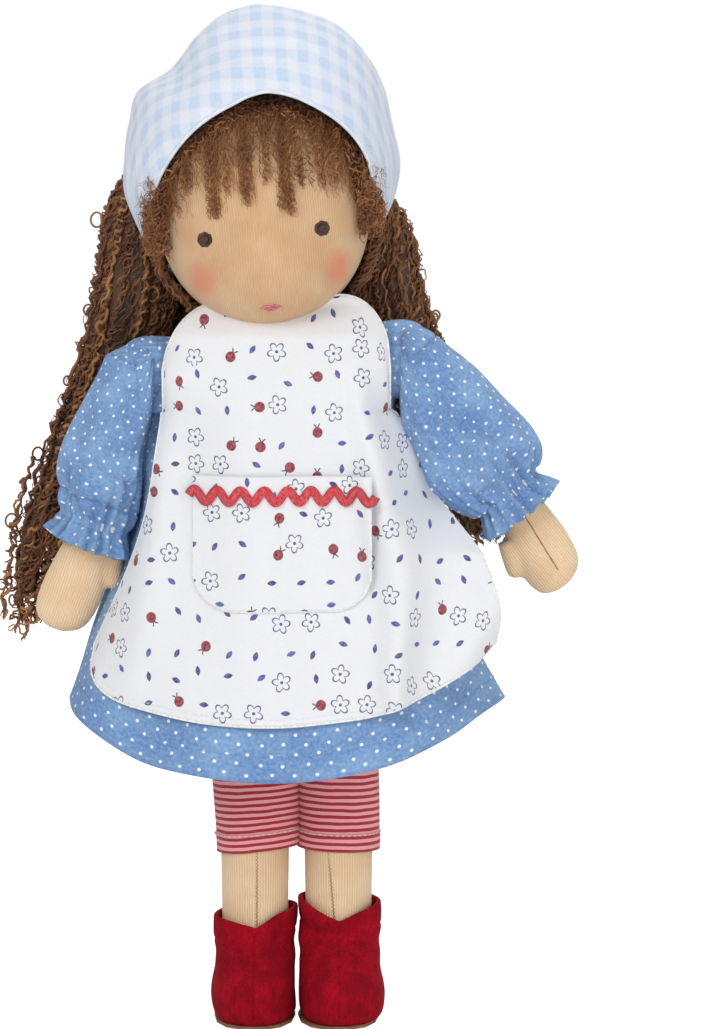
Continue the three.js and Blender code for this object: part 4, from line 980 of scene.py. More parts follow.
def make_arm(side):
    toward_body = -sides[side]
    shares = [
        # drop, half width, half thickness, shift towards the body
        (-105.0, 3.2, 2.6, 5.0), (-103.6, 7.0, 4.8, 4.9), (-100.5, 9.9, 6.5, 4.5),
        (-94.5, 11.4, 7.4, 3.8), (-86, 11.3, 7.6, 2.6),
        (-77, 9.8, 7.8, 1.1), (-70, 8.7, 8.2, 0.2), (-55, 8.8, 8.8, 0), (-36, 9.2, 9.2, 0),
        (-14, 8.2, 8.2, 0), (0, 7.6, 7.6, 0), (6, 5.4, 5.4, 0),
        (8.2, 2.0, 2.0, 0),
    ]
    for name, by, material in (("skin", 0.0, body_tricot), ("stuffing", -1.2, wool)):
        rows = []
        for i in range(70):
            drop = lerp(-105.0 - by, 8.2 + by, i / 69)
            a, b, aside = curve_through(shares, drop)
            palm = max(0.0, (-70 - drop) / 35) if side == "right" else 0.0
            place = (toward_body * (aside - 6.2 * palm**1.2), 0, drop - 3.0 * palm)
            row = oval(*place, max(a + by, 0.6), max(b + by, 0.6), 40)
            row = hung(row + (bowed(drop, side), 0, 0), side)
            row[:, 0] = beside_bodice(row[:, 0], side, 1.2 - by + (2.8 if -62 < drop < -8 else 0.0))
            rows.append(lowered(row, side))
        arm = piece("arm_part", *grid(rows, True, (True, True)), material)
        thumb_rows = []
        for share, radius in (
            (-0.02, 1.4), (0.04, 2.5), (0.16, 3.6), (0.4, 4.1), (0.7, 4.6), (1.0, 5.0)
        ):
            row = oval(0, 0, 0, radius + by, radius + by, 20)
            tip, root = thumb_places[side]
            aside, drop = lerp(tip[0], root[0], share), lerp(tip[1], root[1], share)
            leant = turned(-toward_body * 28, (toward_body * aside, -0.5, drop))
            thumb_rows.append(hung(moved(row, leant), side))
        thumb = piece("thumb_part", *grid(thumb_rows, True, (True, True)), material)
        stub_rows = [oval(0, 0, drop, 7.2 + by, 7.2 + by, 32) for drop in (-4.0, 3.0, 8.0)]
        shoulder = (shoulder_x[side], -arm_forward, shoulder_height)
        across = turned(toward_body * 90, shoulder)
        stub_rows = [lowered(moved(row, across), side) for row in stub_rows]
        stub = piece("stub_part", *grid(stub_rows, True, (True, True)), material)
        arm = joined(f"arm_{side}_{name}_form", [arm, thumb, stub])
        melt = arm.modifiers.new("melt", "REMESH")
        melt.mode = "VOXEL"
        melt.voxel_size = 0.0009
        ease = arm.modifiers.new("ease", "SMOOTH")
        ease.factor = 0.5
        ease.iterations = 10
        apply_modifiers(arm)
        arm.data.materials.clear()
        arm.data.materials.append(material)
        uv_along(arm, side)
        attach(arm, "arm_" + side)
        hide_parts(f"arm_{side}_{name}")
    if side == "right":
        return
    seam = []
    for i in range(50):
        drop = -98 + i * 0.62
        a, b, aside = curve_through(shares, drop)
        seam.append((toward_body * aside + 1.2 * math.sin(drop * 0.05), -b - 0.1, drop))
    stitches = tubes_piece(f"hand_seam_{side}", [tube(hung(seam, side), 0.2, 6)], tan_thread)
    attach(stitches, "arm_" + side)


def uv_along(obj, side):
    """UVs in millimetres across and along the arm, seen from the front."""
    back = np.array(turned(sides[side] * -arm_hang[side], (0, 0, 0)).inverted())[:3, :3]
    points = np.array([v.co for v in obj.data.vertices]) * 1000 @ back.T
    layer = obj.data.uv_layers.new(name="cloth")
    corners = np.empty(len(obj.data.loops), dtype=int)
    obj.data.loops.foreach_get("vertex_index", corners)
    layer.data.foreach_set("uv", points[corners][:, (0, 2)].astype(np.float32).ravel())


sleeve_folds = {
    # along, turn in degrees from outwards (270 is the front), reach along, reach round
    # in degrees, height
    "right": [
        (-8, 285, 9, 16, -1.2), (-20, 250, 12, 14, 2.2), (-38, 265, 9, 26, -3.2),
        (-52, 230, 9, 18, -1.8), (-50, 290, 10, 12, 2.0), (-30, 205, 16, 15, -1.6),
        (-57, 325, 8, 14, -3.0),
    ],
    "left": [
        (2, 300, 8, 22, 2.2), (-6, 285, 9, 14, -1.6), (-34, 292, 8, 14, -3.6),
        (-44, 300, 9, 10, -2.6), (-40, 250, 10, 18, -2.6), (-45, 272, 12, 9, 2.6),
        (-56, 310, 7, 12, -2.4), (-22, 270, 9, 28, 1.4),
    ],
}
sleeve_shares = [
    # along, half width, depth of the gathers
    (-74, 15.5, 2.5), (-71, 14.6, 2.1), (-68, 13.4, 1.7), (-65, 12.5, 1.2), (-62, 13.9, 1.8),
    (-57, 16.3, 1.5), (-48, 18.4, 0.8),
    (-36, 18.2, 0.4), (-22, 16.4, 0.3), (-10, 14.3, 0.5), (0, 13, 0.9), (6, 10.6, 0.9),
    (11, 5.4, 0.3), (12.2, 1.5, 0.0),
]


def bowed(along, side):
    """How far the sleeve and its arm bend outwards, between the shoulder and the cuff."""
    return sides[side] * sleeve_bow[side] * math.sin(math.pi * clamped(-along / 70))


def sleeve_rows(side, by=0.0, low=-sleeve_length, high=sleeve_head, steps=84):
    """Rings of the sleeve from the ruffle up, hung from the shoulder and swung out."""
    count = 132
    plain_puff = 36.8
    wider = sleeve_puff[side] / plain_puff
    seed = 3.0 if side == "right" else 11.0
    rows = []
    for i in range(steps + 1):
        along = lerp(low, high, i / steps)
        half, gather = curve_through(sleeve_shares, along)
        ease = clamped((along - cuff_line) / 8) * clamped(-along / 14)
        if -63 < along < -3:
            half *= lerp(1.0, wider, ease)
        flat = lerp(1.0, 0.86, ease)
        row = []
        for j in range(count):
            turn = 2 * math.pi * j / count
            pleat = math.sin(15 * turn + 1.3 * math.sin(2 * turn + seed) + 0.03 * along)
            pleat += 0.45 * math.sin(23 * turn + seed)
            drape = soft_noise(
                math.cos(turn) * 17 + seed * 9, math.sin(turn) * 17, along * 0.55, 13.0
            )
            out = gather * 0.9 * pleat + 1.6 * drape * ease + by
            for fold_along, fold_turn, reach_along, reach_round, height in sleeve_folds[side]:
                outwards = math.degrees(turn * sides[side]) + (180 if side == "right" else 0)
                gap = (outwards - fold_turn + 180) % 360 - 180
                out += 1.5 * height * bell((along - fold_along) / reach_along, gap / reach_round)
            outer = math.cos(turn) * sides[side]
            if outer > 0:
                fuller = -0.5 if side == "right" else 1.0
                out += outer * fuller * ease + outer * 2.0 * bell((along + 2) / 9)
            elif side == "right":
                out -= 4.5 * (-outer) ** 1.5 * bell((along + 30) / 18)
            rim = 0.8 * pleat * max(0, (-70 - along) / 4)
            row.append(
                (
                    (half + out) * math.cos(turn) + bowed(along, side),
                    (half * flat + out) * math.sin(turn), along + rim
                )
            )
        rows.append(lowered(hung(row, side), side))
    return rows


cap_shares = [
    (22, 7.5), (28, 10.2), (34, 12.0), (40, 13.2), (45, 13.8), (49, 13.6), (53, 12.0), (56, 8.5),
    (58, 3.5)
]


def sleeve_cap(side):
    """The sleeve's gathered head.

    It turns round the shoulder's hinge, and its inner end is sewn into the bodice.
    """
    rows = []
    for i in range(37):
        across = lerp(cap_shares[0][0], cap_shares[-1][0], i / 36)
        radius = curve_through(cap_shares, across)[0]
        row = []
        for j in range(120):
            turn = 2 * math.pi * j / 120
            pleat = (
                0.45 * math.sin(17 * turn + 1.4 * math.sin(3 * turn) + 0.05 * across)
                * min(1.0, (across - 22) / 12)
            )
            row.append(
                (
                    dress_x[0] + sides[side] * across,
                    (radius * 0.8 + pleat) * math.cos(turn) - arm_forward,
                    shoulder_height + (radius + pleat) * math.sin(turn)
                )
            )
        rows.append(lowered(np.array(row), side))
    if side == "left":
        rows = [row[::-1] for row in rows]
    return rows


def make_sleeve(side):
    rows = [np.array(row) for row in sleeve_rows(side)]
    plane = dress_x[0] + sides[side] * bodice_side
    for row in rows:
        near = (row[:, 0] - plane) * sides[side]
        row[:, 0] = plane + sides[side] * 0.5 * (near + np.sqrt(near**2 + 16) - 0.6)
        inside = (row[:, 0] - plane) * sides[side] < 0
        row[inside, 0] = plane
    across = len(rows[0])
    pinned = []
    for i, row in enumerate(rows):
        along = lerp(-sleeve_length, sleeve_head, i / (len(rows) - 1))
        for j, point in enumerate(row):
            near = (point[0] - plane) * sides[side]
            if near < 1.5 or abs(along - cuff_line) < 1.6:
                pinned.append((i * across + j, 1.0))
            elif along < cuff_line or near < 6:
                pinned.append((i * across + j, 0.7))
    folds = {"pinned": pinned, "grown_by": 0.08, "pressure": 0.2, "bending": 0.1}
    sleeve = sheet_piece(
        f"sleeve_{side}_cloth", rows, 0.55, dotted_cotton, around=True, outwards=-1, folds=folds
    )
    cap = sheet_piece(
        f"sleeve_{side}_cap", sleeve_cap(side), 0.5, dotted_cotton, around=True, outwards=-1
    )
    casing = []
    for name, at in (("upper", -63.4), ("lower", -66.6)):
        line = sleeve_rows(side, 0.12, at, at + 0.01, 1)[0]
        casing.append(dashes(f"cuff_stitches_{side}_{name}", line, 2.0, 0.16, blue_thread))
    for obj in [sleeve, cap, *casing]:
        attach(obj, "arm_" + side)
    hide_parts("sleeve_" + side)


# Dress
bodice_shares = [(0, 1, 1), (0.4, 1.01, 0.98), (0.65, 1, 0.92), (0.84, 0.85, 0.82), (1, 0.6, 0.7)]


def bodice_half(height):
    rise = (height - waist) / (neckline - waist)
    wide, deep = curve_through(bodice_shares, rise)
    return wide * bodice_size[0] / 2, deep * bodice_size[1] / 2


def hem_height(turn):
    """The skirt's edge: its front hangs low, and one place at the right hip lower still."""
    dip = 3.6 * bell(around_from(turn, 4.0) / 0.28) - 1.6 * bell(around_from(turn, 5.45) / 0.2)
    return side_hem - (side_hem - front_hem) * abs(math.sin(turn)) ** 1.8 - dip


def skirt_point(turn, drop, by):
    fold = fold_depth * drop**2 * math.cos(fold_count * turn)
    fold += 0.9 * drop * soft_noise(math.cos(turn) * 30, math.sin(turn) * 30, drop * 12, 14.0)
    # beside the right sleeve: one long fold, one under the arm and one near the hem
    fold += 8.0 * math.sin(math.pi * min(1.0, drop)) ** 1.3 * bell(around_from(turn, 2.72) / 0.3)
    fold += 6.0 * bell((drop - 0.12) / 0.16, around_from(turn, 3.05) / 0.4)
    fold += 3.0 * bell((drop - 0.72) / 0.22, around_from(turn, 3.14) / 0.35)
    a = (bodice_size[0] + (skirt_size[0] - bodice_size[0]) * drop**1.6) / 2 + fold + by
    b = (bodice_size[1] + (skirt_size[1] - bodice_size[1]) * drop**1.2) / 2 + fold + by
    x = lerp(dress_x[0], dress_x[1], drop)
    z = waist - drop * (waist - hem_height(turn))
    return np.array((x + a * math.cos(turn), b * math.sin(turn), z))


def skirt_at(turn, height, by):
    drop = (waist - height) / (waist - hem_height(turn))
    return skirt_point(turn, max(0.0, drop), by)


def make_dress():
    rows = []
    for i in range(31):
        height = lerp(waist - 0.6, neckline, i / 30)
        a, b = bodice_half(height)
        row = oval(dress_x[0], 0, height, a, b, 120)
        for j, point in enumerate(row):
            turn = 2 * math.pi * j / 120
            crease = 0.25 * math.sin(22 * turn) * max(0, 1 - (height - waist) / 12)
            point[0] += crease * math.cos(turn)
            point[1] += crease * math.sin(turn)
            point[0] -= 6.0 * max(0.0, -math.cos(turn)) ** 3 * bell((height - waist - 3) / 10)
        row[:, 0] = np.clip(row[:, 0], lerp(-57.0, -50.0, clamped((height - 236) / 10)), 40.0)
        rows.append(row)
    bodice = sheet_piece("dress_bodice_cloth", rows, 0.6, dotted_cotton, around=True, outwards=-1)
    a, b = bodice_half(neckline)
    bind = oval(dress_x[0], 0, neckline - 0.2, a + 0.1, b + 0.1, 90)
    binding = tubes_piece("dress_neck_binding", [closed_tube(bind, 0.9, 8)], dotted_cotton)
    for obj in (bodice, binding):
        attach(obj, "torso")
    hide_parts("dress_bodice")
    rows = []
    for i in range(61):
        drop = i / 60
        row = []
        for j in range(224):
            turn = 2 * math.pi * j / 224
            gather = 0.45 * math.sin(46 * turn + 1.1 * math.sin(5 * turn)) * math.exp(-drop * 7)
            row.append(skirt_point(turn, drop, gather))
        rows.append(np.array(row))
    skirt = sheet_piece(
        "dress_skirt_cloth", rows[::-1], 0.6, dotted_cotton, around=True, outwards=-1,
        uv=lengths(rows, True)[::-1]
    )
    line = [skirt_point(2 * math.pi * j / 224, 0.93, 0.12) for j in range(224)]
    hem_stitches = dashes("dress_hem_stitches", line, 2.2, 0.15, blue_thread)
    waist_line = [skirt_point(2 * math.pi * j / 120, 0.0, 0.3) for j in range(120)]
    waist_seam = tubes_piece("dress_waist_seam", [closed_tube(waist_line, 0.45, 6)], dotted_cotton)
    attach(waist_seam, "torso")
    for obj in (skirt, hem_stitches):
        fold_with_legs(obj)
    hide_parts("dress_skirt")
    for name in ("dress_snap_upper", "dress_snap_lower"):
        show_solid(name, button_gloss)


def fold_with_legs(obj):
    """Bakes the placing of a skirt or apron piece into its mesh.
    """
    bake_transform(obj)


# Apron: a panel over the dress, with a patch pocket and a rickrack braid
flare_shares = [
    (0, 0), (0.08, 0.1), (0.2, 0.46), (0.3, 0.84), (0.4, 1), (0.54, 0.92), (0.66, 0.5), (0.8, 0.05),
    (1.2, 0)
]


def apron_flare_at(height, share):
    drop = max(0.0, (waist - height) / (waist - front_hem))
    return apron_flare * float(curve_through(flare_shares, drop)[0]) * max(0.0, share) ** 3


def apron_reach(height):
    return 0.92 + 0.05 * min(1.0, (waist - height) / (waist - side_hem))


def apron_point(share, height, by):
    if height >= waist:
        rise = (height - waist) / (apron_shoulder - waist)
        a = bodice_size[0] / 2 + by
        b = bodice_size[1] * (1 - 0.3 * min(1.0, rise) ** 2) / 2 + by
        b *= 1 - 0.42 * clamped((height - 256) / 11) ** 1.3
        flatter = lerp(1.0, 0.76, min(1.0, (height - waist) / 16))
        x = dress_x[0] + a * share * 0.92
        return np.array(
            (x, -b * math.sqrt(1 - (share * 0.92 * flatter) ** 2) - apron_fold(x, height), height)
        )
    turn = -math.acos(max(-1, min(1, share * apron_reach(height))))
    out = apron_flare_at(height, share)
    point = skirt_at(turn, height, by)
    tucked = clamped((height - 176) / 22)
    back = lerp(-0.35, 0.3, tucked)
    behind = 6.5 * max(0.0, share) ** 4 * bell((height - 214) / 13)
    return (
        point
        + np.array(
            (
                out * (1 - 0.25 * tucked) + behind,
                out * back + behind * 0.5 - apron_fold(point[0], height), 0
            )
        )
    )


def apron_fold(x, height):
    """How far the apron's soft folds stand off the skirt.

    Two upright rolls stand at the left hip, with a hollow between them.
    """
    fade = clamped((252 - height) / 40) * clamped((height - 100) / 30)
    lean = 0.12 * (190 - height)
    tucked = clamped((height - 172) / 24)
    near = 8.5 * bell((x - 31 - lean) / 5.0)
    near += 9.0 * (1 - 0.85 * tucked) * bell((x - 52 - lean) / 6.5)
    near -= 4.0 * tucked * bell((x - 42) / 4.5)
    far = 2.2 * bell((x + 50 + 1.2 * lean) / 7)
    wide = 1.2 * (1 + math.sin(x * 0.16 + height * 0.02))
    return fade * (near + far + wide)


bib_edge = [
    (-1, 244), (-0.965, 251), (-0.875, 259), (-0.75, 264.6), (-0.6, 267.6), (-0.4, 266.2),
    (-0.13, 264.3), (0.15, 265.4), (0.38, 269.2), (0.56, 271.2), (0.72, 269.8), (0.84, 266),
    (0.93, 260.5), (0.98, 254), (1, 245)
]


def apron_top_edge(share):
    return float(curve_through(bib_edge, share)[0])


apron_edge = [
    (-1, 27), (-0.97, 19), (-0.9, 12), (-0.8, 7.6), (-0.6, 4), (-0.3, 1.4), (0, 0.8), (0.25, 1.8),
    (0.45, 4), (0.62, 8.2), (0.78, 13), (0.88, 17.5), (0.95, 22), (1, 29)
]


def apron_bottom_edge(share):
    """The hem's height across the apron, as (place, height above its middle)."""
    return apron_hem + float(curve_through(apron_edge, share)[0])


def apron_grid(by):
    columns, rows = 96, 110
    out = []
    for i in range(rows + 1):
        row = []
        for j in range(columns + 1):
            share = math.sin(math.pi / 2 * (2 * j / columns - 1))
            top = apron_top_edge(share)
            height = top + (apron_bottom_edge(share) - top) * i / rows
            row.append(apron_point(share, height, by))
        out.append(np.array(row))
    return out


def on_apron(x, height, by):
    low, high = -math.pi, 0.0
    for _ in range(26):
        turn = (low + high) / 2
        if skirt_at(turn, height, by)[0] < x:
            low = turn
        else:
            high = turn
    out = apron_flare_at(height, math.cos(low) / apron_reach(height))
    return skirt_at(low, height, by) + np.array((0, -out * 0.35 - apron_fold(x, height), 0))


def edge_of(rows):
    """The grid's edge: down its first column, along the last row, up and back."""
    return np.concatenate((rows[:, 0], rows[-1, 1:], rows[::-1, -1][1:], rows[0][::-1][1:]))


def make_apron():
    rows = apron_grid(apron_lift)
    front = np.array(rows)
    flat_uv = np.stack((front[:, :, 0], front[:, :, 2]), axis=2)
    steps = np.linalg.norm(np.diff(front, axis=1), axis=2)
    across = np.concatenate((np.zeros((len(front), 1)), np.cumsum(steps, axis=1)), axis=1)
    flat_uv[:, :, 0] = across - across[:, [48]]
    panel = sheet_piece("apron_panel_cloth", rows, 0.55, printed_cotton, uv=flat_uv, outwards=-1)
    hems = []
    raised = np.array(apron_grid(apron_lift + 0.75))
    inner = raised[2:-2, 2:-2]
    path = edge_of(inner)
    hems.append(dashes("apron_hem_stitches", path, 2.0, 0.14, white_thread))
    edge = np.array(apron_grid(apron_lift + 0.3))
    rim = edge_of(edge)
    hems.append(tubes_piece("apron_edge", [tube(rim, 0.5, 6)], white_thread))
    for obj in [panel, *hems]:
        fold_with_legs(obj)
    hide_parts("apron_panel")
    make_pocket()
    make_braid()
    make_band()


def pocket_bottom_at(across):
    inset = max(0, abs(across * pocket_size[0]) / 2 - (pocket_size[0] / 2 - pocket_corner))
    lift = pocket_corner - math.sqrt(max(0, pocket_corner**2 - inset**2))
    return pocket_bottom + min(lift, pocket_corner * 0.8)


def make_pocket():
    columns, count = 60, 48
    rows, uv = [], []
    for i in range(count + 1):
        row, line = [], []
        for j in range(columns + 1):
            across = math.sin(math.pi / 2 * (2 * j / columns - 1))
            x = pocket_middle + across * pocket_size[0] / 2
            top = pocket_bottom + pocket_size[1]
            height = top + (pocket_bottom_at(across) - top) * i / count
            puff = 0.9 * math.sin(math.pi * j / columns) * (1 - i / count) ** 0.7
            puff *= math.sin(math.pi * min(1, i / 18 + 0.35))
            row.append(on_apron(x, height, apron_lift + 1.0 + puff))
            line.append((x * 1.06 + 117, height + 61))
        rows.append(np.array(row))
        uv.append(line)
    pocket = sheet_piece(
        "apron_pocket_cloth", rows, 0.5, printed_cotton, uv=np.array(uv), outwards=-1
    )
    grid_points = np.array(rows)
    path = (
        np.concatenate((grid_points[:, 1], grid_points[-2, 2:-2], grid_points[::-1, -2]))
        + (0, -0.25, 0)
    )
    stitches = dashes("pocket_stitches", path, 1.9, 0.14, white_thread, closed=False)
    rim = (
        np.concatenate((grid_points[:, 0], grid_points[-1, 1:], grid_points[::-1, -1][1:]))
        + (0, -0.1, 0)
    )
    fold = tubes_piece("pocket_edge", [tube(rim, 0.42, 6)], white_thread)
    for obj in (pocket, stitches, fold):
        fold_with_legs(obj)
    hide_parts("apron_pocket")


def make_braid():
    swing = 2.2
    waves = round(braid_width / braid_pitch)
    steps = waves * 16
    middle = pocket_bottom + pocket_size[1] - 7.4
    rows = [[], [], [], [], []]
    for j in range(steps + 1):
        x = pocket_middle + braid_width * (j / steps - 0.5)
        turn = 2 * math.pi * waves * j / steps
        slope = swing * math.cos(turn) * 2 * math.pi * waves / braid_width
        size = math.hypot(1, slope)
        for k in range(5):
            across = (k / 4 - 0.5) * 3.1
            ridge = 0.25 * math.cos(across)
            place = (x + slope / size * across, middle + swing * math.sin(turn) - across / size)
            rows[k].append(on_apron(*place, apron_lift + 2.15 + ridge))
    braid = sheet_piece(
        "rickrack_braid_cloth", [np.array(row) for row in rows], 0.6, braid_cotton, outwards=-1
    )
    path = np.array(rows[2]) + (0, -0.2, 0)
    stitches = dashes("braid_stitches", path, 2.4, 0.16, red_thread, closed=False, share=0.4)
    for obj in (braid, stitches):
        fold_with_legs(obj)
    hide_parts("rickrack_braid")


button_height = 253
button_profile = [
    # radius, depth
    (0.0, 0.5), (2.2, 0.5), (2.7, 0.7), (3.3, 1.35), (3.9, 1.5), (4.3, 1.2), (4.4, 0.7), (4.1, 0.2),
    (0.0, 0.0),
]


def make_band():
    rows = []
    for k in range(6):
        height = 257.7 - k
        a, b = bodice_half(height)
        turns = [math.pi * (1.2 * j / 90 - 0.1) for j in range(91)]
        rows.append(
            np.array(
                [
                    (dress_x[0] + (a + 1.2) * math.cos(t), (b + 1.2) * math.sin(t), height)
                    for t in turns
                ]
            )
        )
    band = sheet_piece("apron_neckband_cloth", rows, 0.8, printed_cotton, outwards=-1)
    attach(band, "torso")
    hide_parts("apron_neckband")
    rings = []
    back = bodice_half(button_height)[1] + 2.6
    for radius, depth in button_profile:
        turns = circle_turns(40)
        x, z = dress_x[0] + radius * np.cos(turns), button_height + radius * np.sin(turns)
        rings.append(np.stack((x, np.full(40, back + depth - 0.9), z), axis=1))
    button = piece("apron_button_disc", *grid(rings[::-1], True), button_gloss)
    threads = []
    for x, z in ((-0.8, -0.8), (0.8, -0.8), (-0.8, 0.8), (0.8, 0.8)):
        spot = np.array((dress_x[0] + x, back - 0.3, button_height + z))
        threads.append(tube([spot, spot + (0, 0.25, 0), spot + (-x * 0.6, 0.3, -z * 0.6)], 0.28, 6))
    sewn = tubes_piece("button_thread", threads, white_thread)
    for obj in (button, sewn):
        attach(obj, "torso")
    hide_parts("apron_button")


# Head
def head_row(z, by):
    if z <= head_centre:
        share = max(0.0, (z - (head_centre - head_half - chin_drop)) / (head_half + chin_drop))
        a = head_half * math.sqrt(max(0, 1 - (1 - share) ** 2))
        b = head_half * (1 - (1 - share) ** chin_fullness) ** (1 / chin_fullness)
    else:
        share = min(1.0, (z - head_centre) / crown_height)
        a = b = head_half * math.sqrt(max(0, 1 - share**2))
    return a + by, b + by


def head_surface(x, z, by):
    """How far forward the face lies at a place across and up, in the head's own frame."""
    a, b = head_row(z, by)
    return -b * math.sqrt(max(0.0, 1 - (x / a) ** 2))


def head_rows(by):
    rows = [oval(0, 0, z, 11 + min(by, 0), 11 + min(by, 0), 96) for z in (-15, -8, -2)]
    for i in range(1, 80):
        turn = math.pi * i / 80
        z = (
            head_centre
            - (head_half + chin_drop if turn <= math.pi / 2 else crown_height) * math.cos(turn)
        )
        if z < 0.2:
            continue
        a, b = head_row(z, by)
        row = oval(0, 0, z, a, b, 96)
        for point in row:
            if point[1] < -10:
                for x in (-eye_half_spacing, eye_half_spacing):
                    away = math.hypot(point[0] - x, point[2] - eye_height)
                    point[1] += 0.9 * bell(away / 6.5)
                away = math.hypot(point[0], (point[2] - mouth_height - 0.5) * 1.6)
                point[1] += 0.5 * bell(away / 6)
                bump = math.hypot(point[0] / 4.5, (point[2] - 21) / 5)
                point[1] -= 0.55 * bell(bump)
        rows.append(row)
    return rows


def make_head():
    for name, by, material in (("head_skin", 0.0, face_tricot_shaded), ("head_core", -1.2, wool)):
        rows = head_rows(by)
        uv = np.empty((len(rows), 97, 2))
        for i, row in enumerate(rows):
            a = max(np.abs(row[:, 0]).max(), 1)
            wrapped = np.vstack((row, row[:1]))
            lean = np.arcsin(np.clip(wrapped[:, 0] / a, -1, 1)) * a
            uv[i, :, 0] = lerp(wrapped[:, 0], lean, 0.72)
            uv[i, :, 1] = wrapped[:, 2]
        obj = form_piece(name + "_form", [moved(row, on_head) for row in rows], material, uv)
        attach(obj, "head")
        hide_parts(name)
    for side, sign in sides.items():
        stitches = []
        # each eye: 13 upright stitches side by side
        for k in range(13):
            across = (k - 6) / 6
            high = 1.6 * math.sqrt(max(0.02, 1 - (across * 0.98) ** 2))
            x = sign * eye_half_spacing + across * 1.7
            path = []
            for s in np.linspace(-1, 1, 9):
                z = eye_height + high * s
                rise = 0.55 * (1 - s * s) + 0.25 * (1 - across**2)
                path.append((x + 0.25 * s, head_surface(x, z, 0.0) + 0.75 - rise, z))
            stitches.append(tube(moved(path, on_head), [0.12, 0.24, *[0.27] * 5, 0.24, 0.12], 7))
        eye = tubes_piece(f"eye_{side}_stitches", stitches, eye_thread)
        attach(eye, "head")
        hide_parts("eye_" + side)
    stitches = []
    for k, (half, height) in enumerate(((4.1, 0.6), (3.8, 0.15), (3.0, -0.3), (1.8, -0.7))):
        for part in (-1, 1):
            path = []
            for s in np.linspace(0.0, 1.0, 8):
                x = part * half * s
                z = (
                    mouth_height + height
                    + (0.35 * abs(s) ** 2 if k else 0.5 * math.sin(math.pi * min(1, abs(s) * 1.6)))
                )
                path.append((x, head_surface(x, z, 0.0) + 0.35 - 0.4 * (1 - s * s) ** 0.5, z))
            stitches.append(tube(moved(path, on_head), [0.36] * 7 + [0.15], 6))
    mouth = tubes_piece("mouth_stitches", stitches, lip_thread)
    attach(mouth, "head")
    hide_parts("mouth")
    make_scarf()
    make_wig()


# Headscarf: one sheet from its edge over the face, over the crown, to its point at the back
dome_shares = [
    (-0.1, 0.745, 0.77, 0, 0.27), (0.01, 0.845, 0.86, 0, 0.25), (0.15, 0.95, 0.93, 0, 0.23),
    (0.28, 1, 0.98, 0, 0.205), (0.44, 0.99, 1, 0, 0.205), (0.57, 0.97, 0.99, 0, 0.23),
    (0.685, 0.89, 0.93, 0.02, 0.27), (0.775, 0.755, 0.82, 0.08, 0.32),
    (0.865, 0.58, 0.64, 0.12, 0.365), (0.935, 0.39, 0.43, 0.12, 0.39), (0.98, 0.22, 0.25, 0.1, 0.4),
    (1.0, 0.02, 0.02, 0.08, 0.41)
]


def in_dome(point):
    rise = (point[2] - 29) / 89
    if rise >= 1:
        return False
    wide, deep, aside, back = curve_through(dome_shares, max(rise, -0.1))
    u = (point[0] - aside * 51) / (wide * 51)
    v = (point[1] - back * 44) / (deep * 44)
    return u * u + v * v < 1


dome_centre = np.array((0, 9, 60.0))
arch_foot = 45
arch_half = 41
arch_rise = 40


def dome_point(about, along):
    """The place where a ray from the dome's centre leaves the dome."""
    way = np.array(
        (math.sin(about) * math.sin(along), -math.cos(along), math.cos(about) * math.sin(along))
    )
    low, high = 10.0, 90.0
    for _ in range(20):
        far = (low + high) / 2
        if in_dome(dome_centre + way * far):
            low = far
        else:
            high = far
    return dome_centre + way * low


def arch_share(x, z, half, rise):
    """Under 1 inside the arch that the scarf leaves round the face.

    The arch is a little pointed, with its peak to the left.
    """
    up = max(0.0, z - arch_foot) / rise
    return (abs(x - 5.5 * up) / half) ** 1.55 + up**1.95


def scarf_keeps(point):
    x, y, z = point
    if z < 29:
        return False
    if y < 7:
        beside = z < arch_foot and abs(x) < arch_half
        if beside or (z >= arch_foot and arch_share(x, z, arch_half, arch_rise) < 1):
            return False
    return not (y > 2 and z < 24 + 0.55 * abs(x) and z < 29 + 2.3 * (y - 2))


def check_place(x, y, z):
    """Where a place on the scarf lies in the flat cloth.

    Level bands run across, and upright bands run over the crown.
    """
    across = 54 * math.asin(max(-1.0, min(1.0, x / 54)))
    low = min(1.0, abs(x) / 54) ** 4
    turn = math.atan2(z - 48 + 70 * low, 14 - y)
    turn += 2 * math.pi if turn < 0 and y > 14 else 0.0
    return across, 72 + (46 + 70 * low) * (turn - math.pi / 2) + 0.12 * across


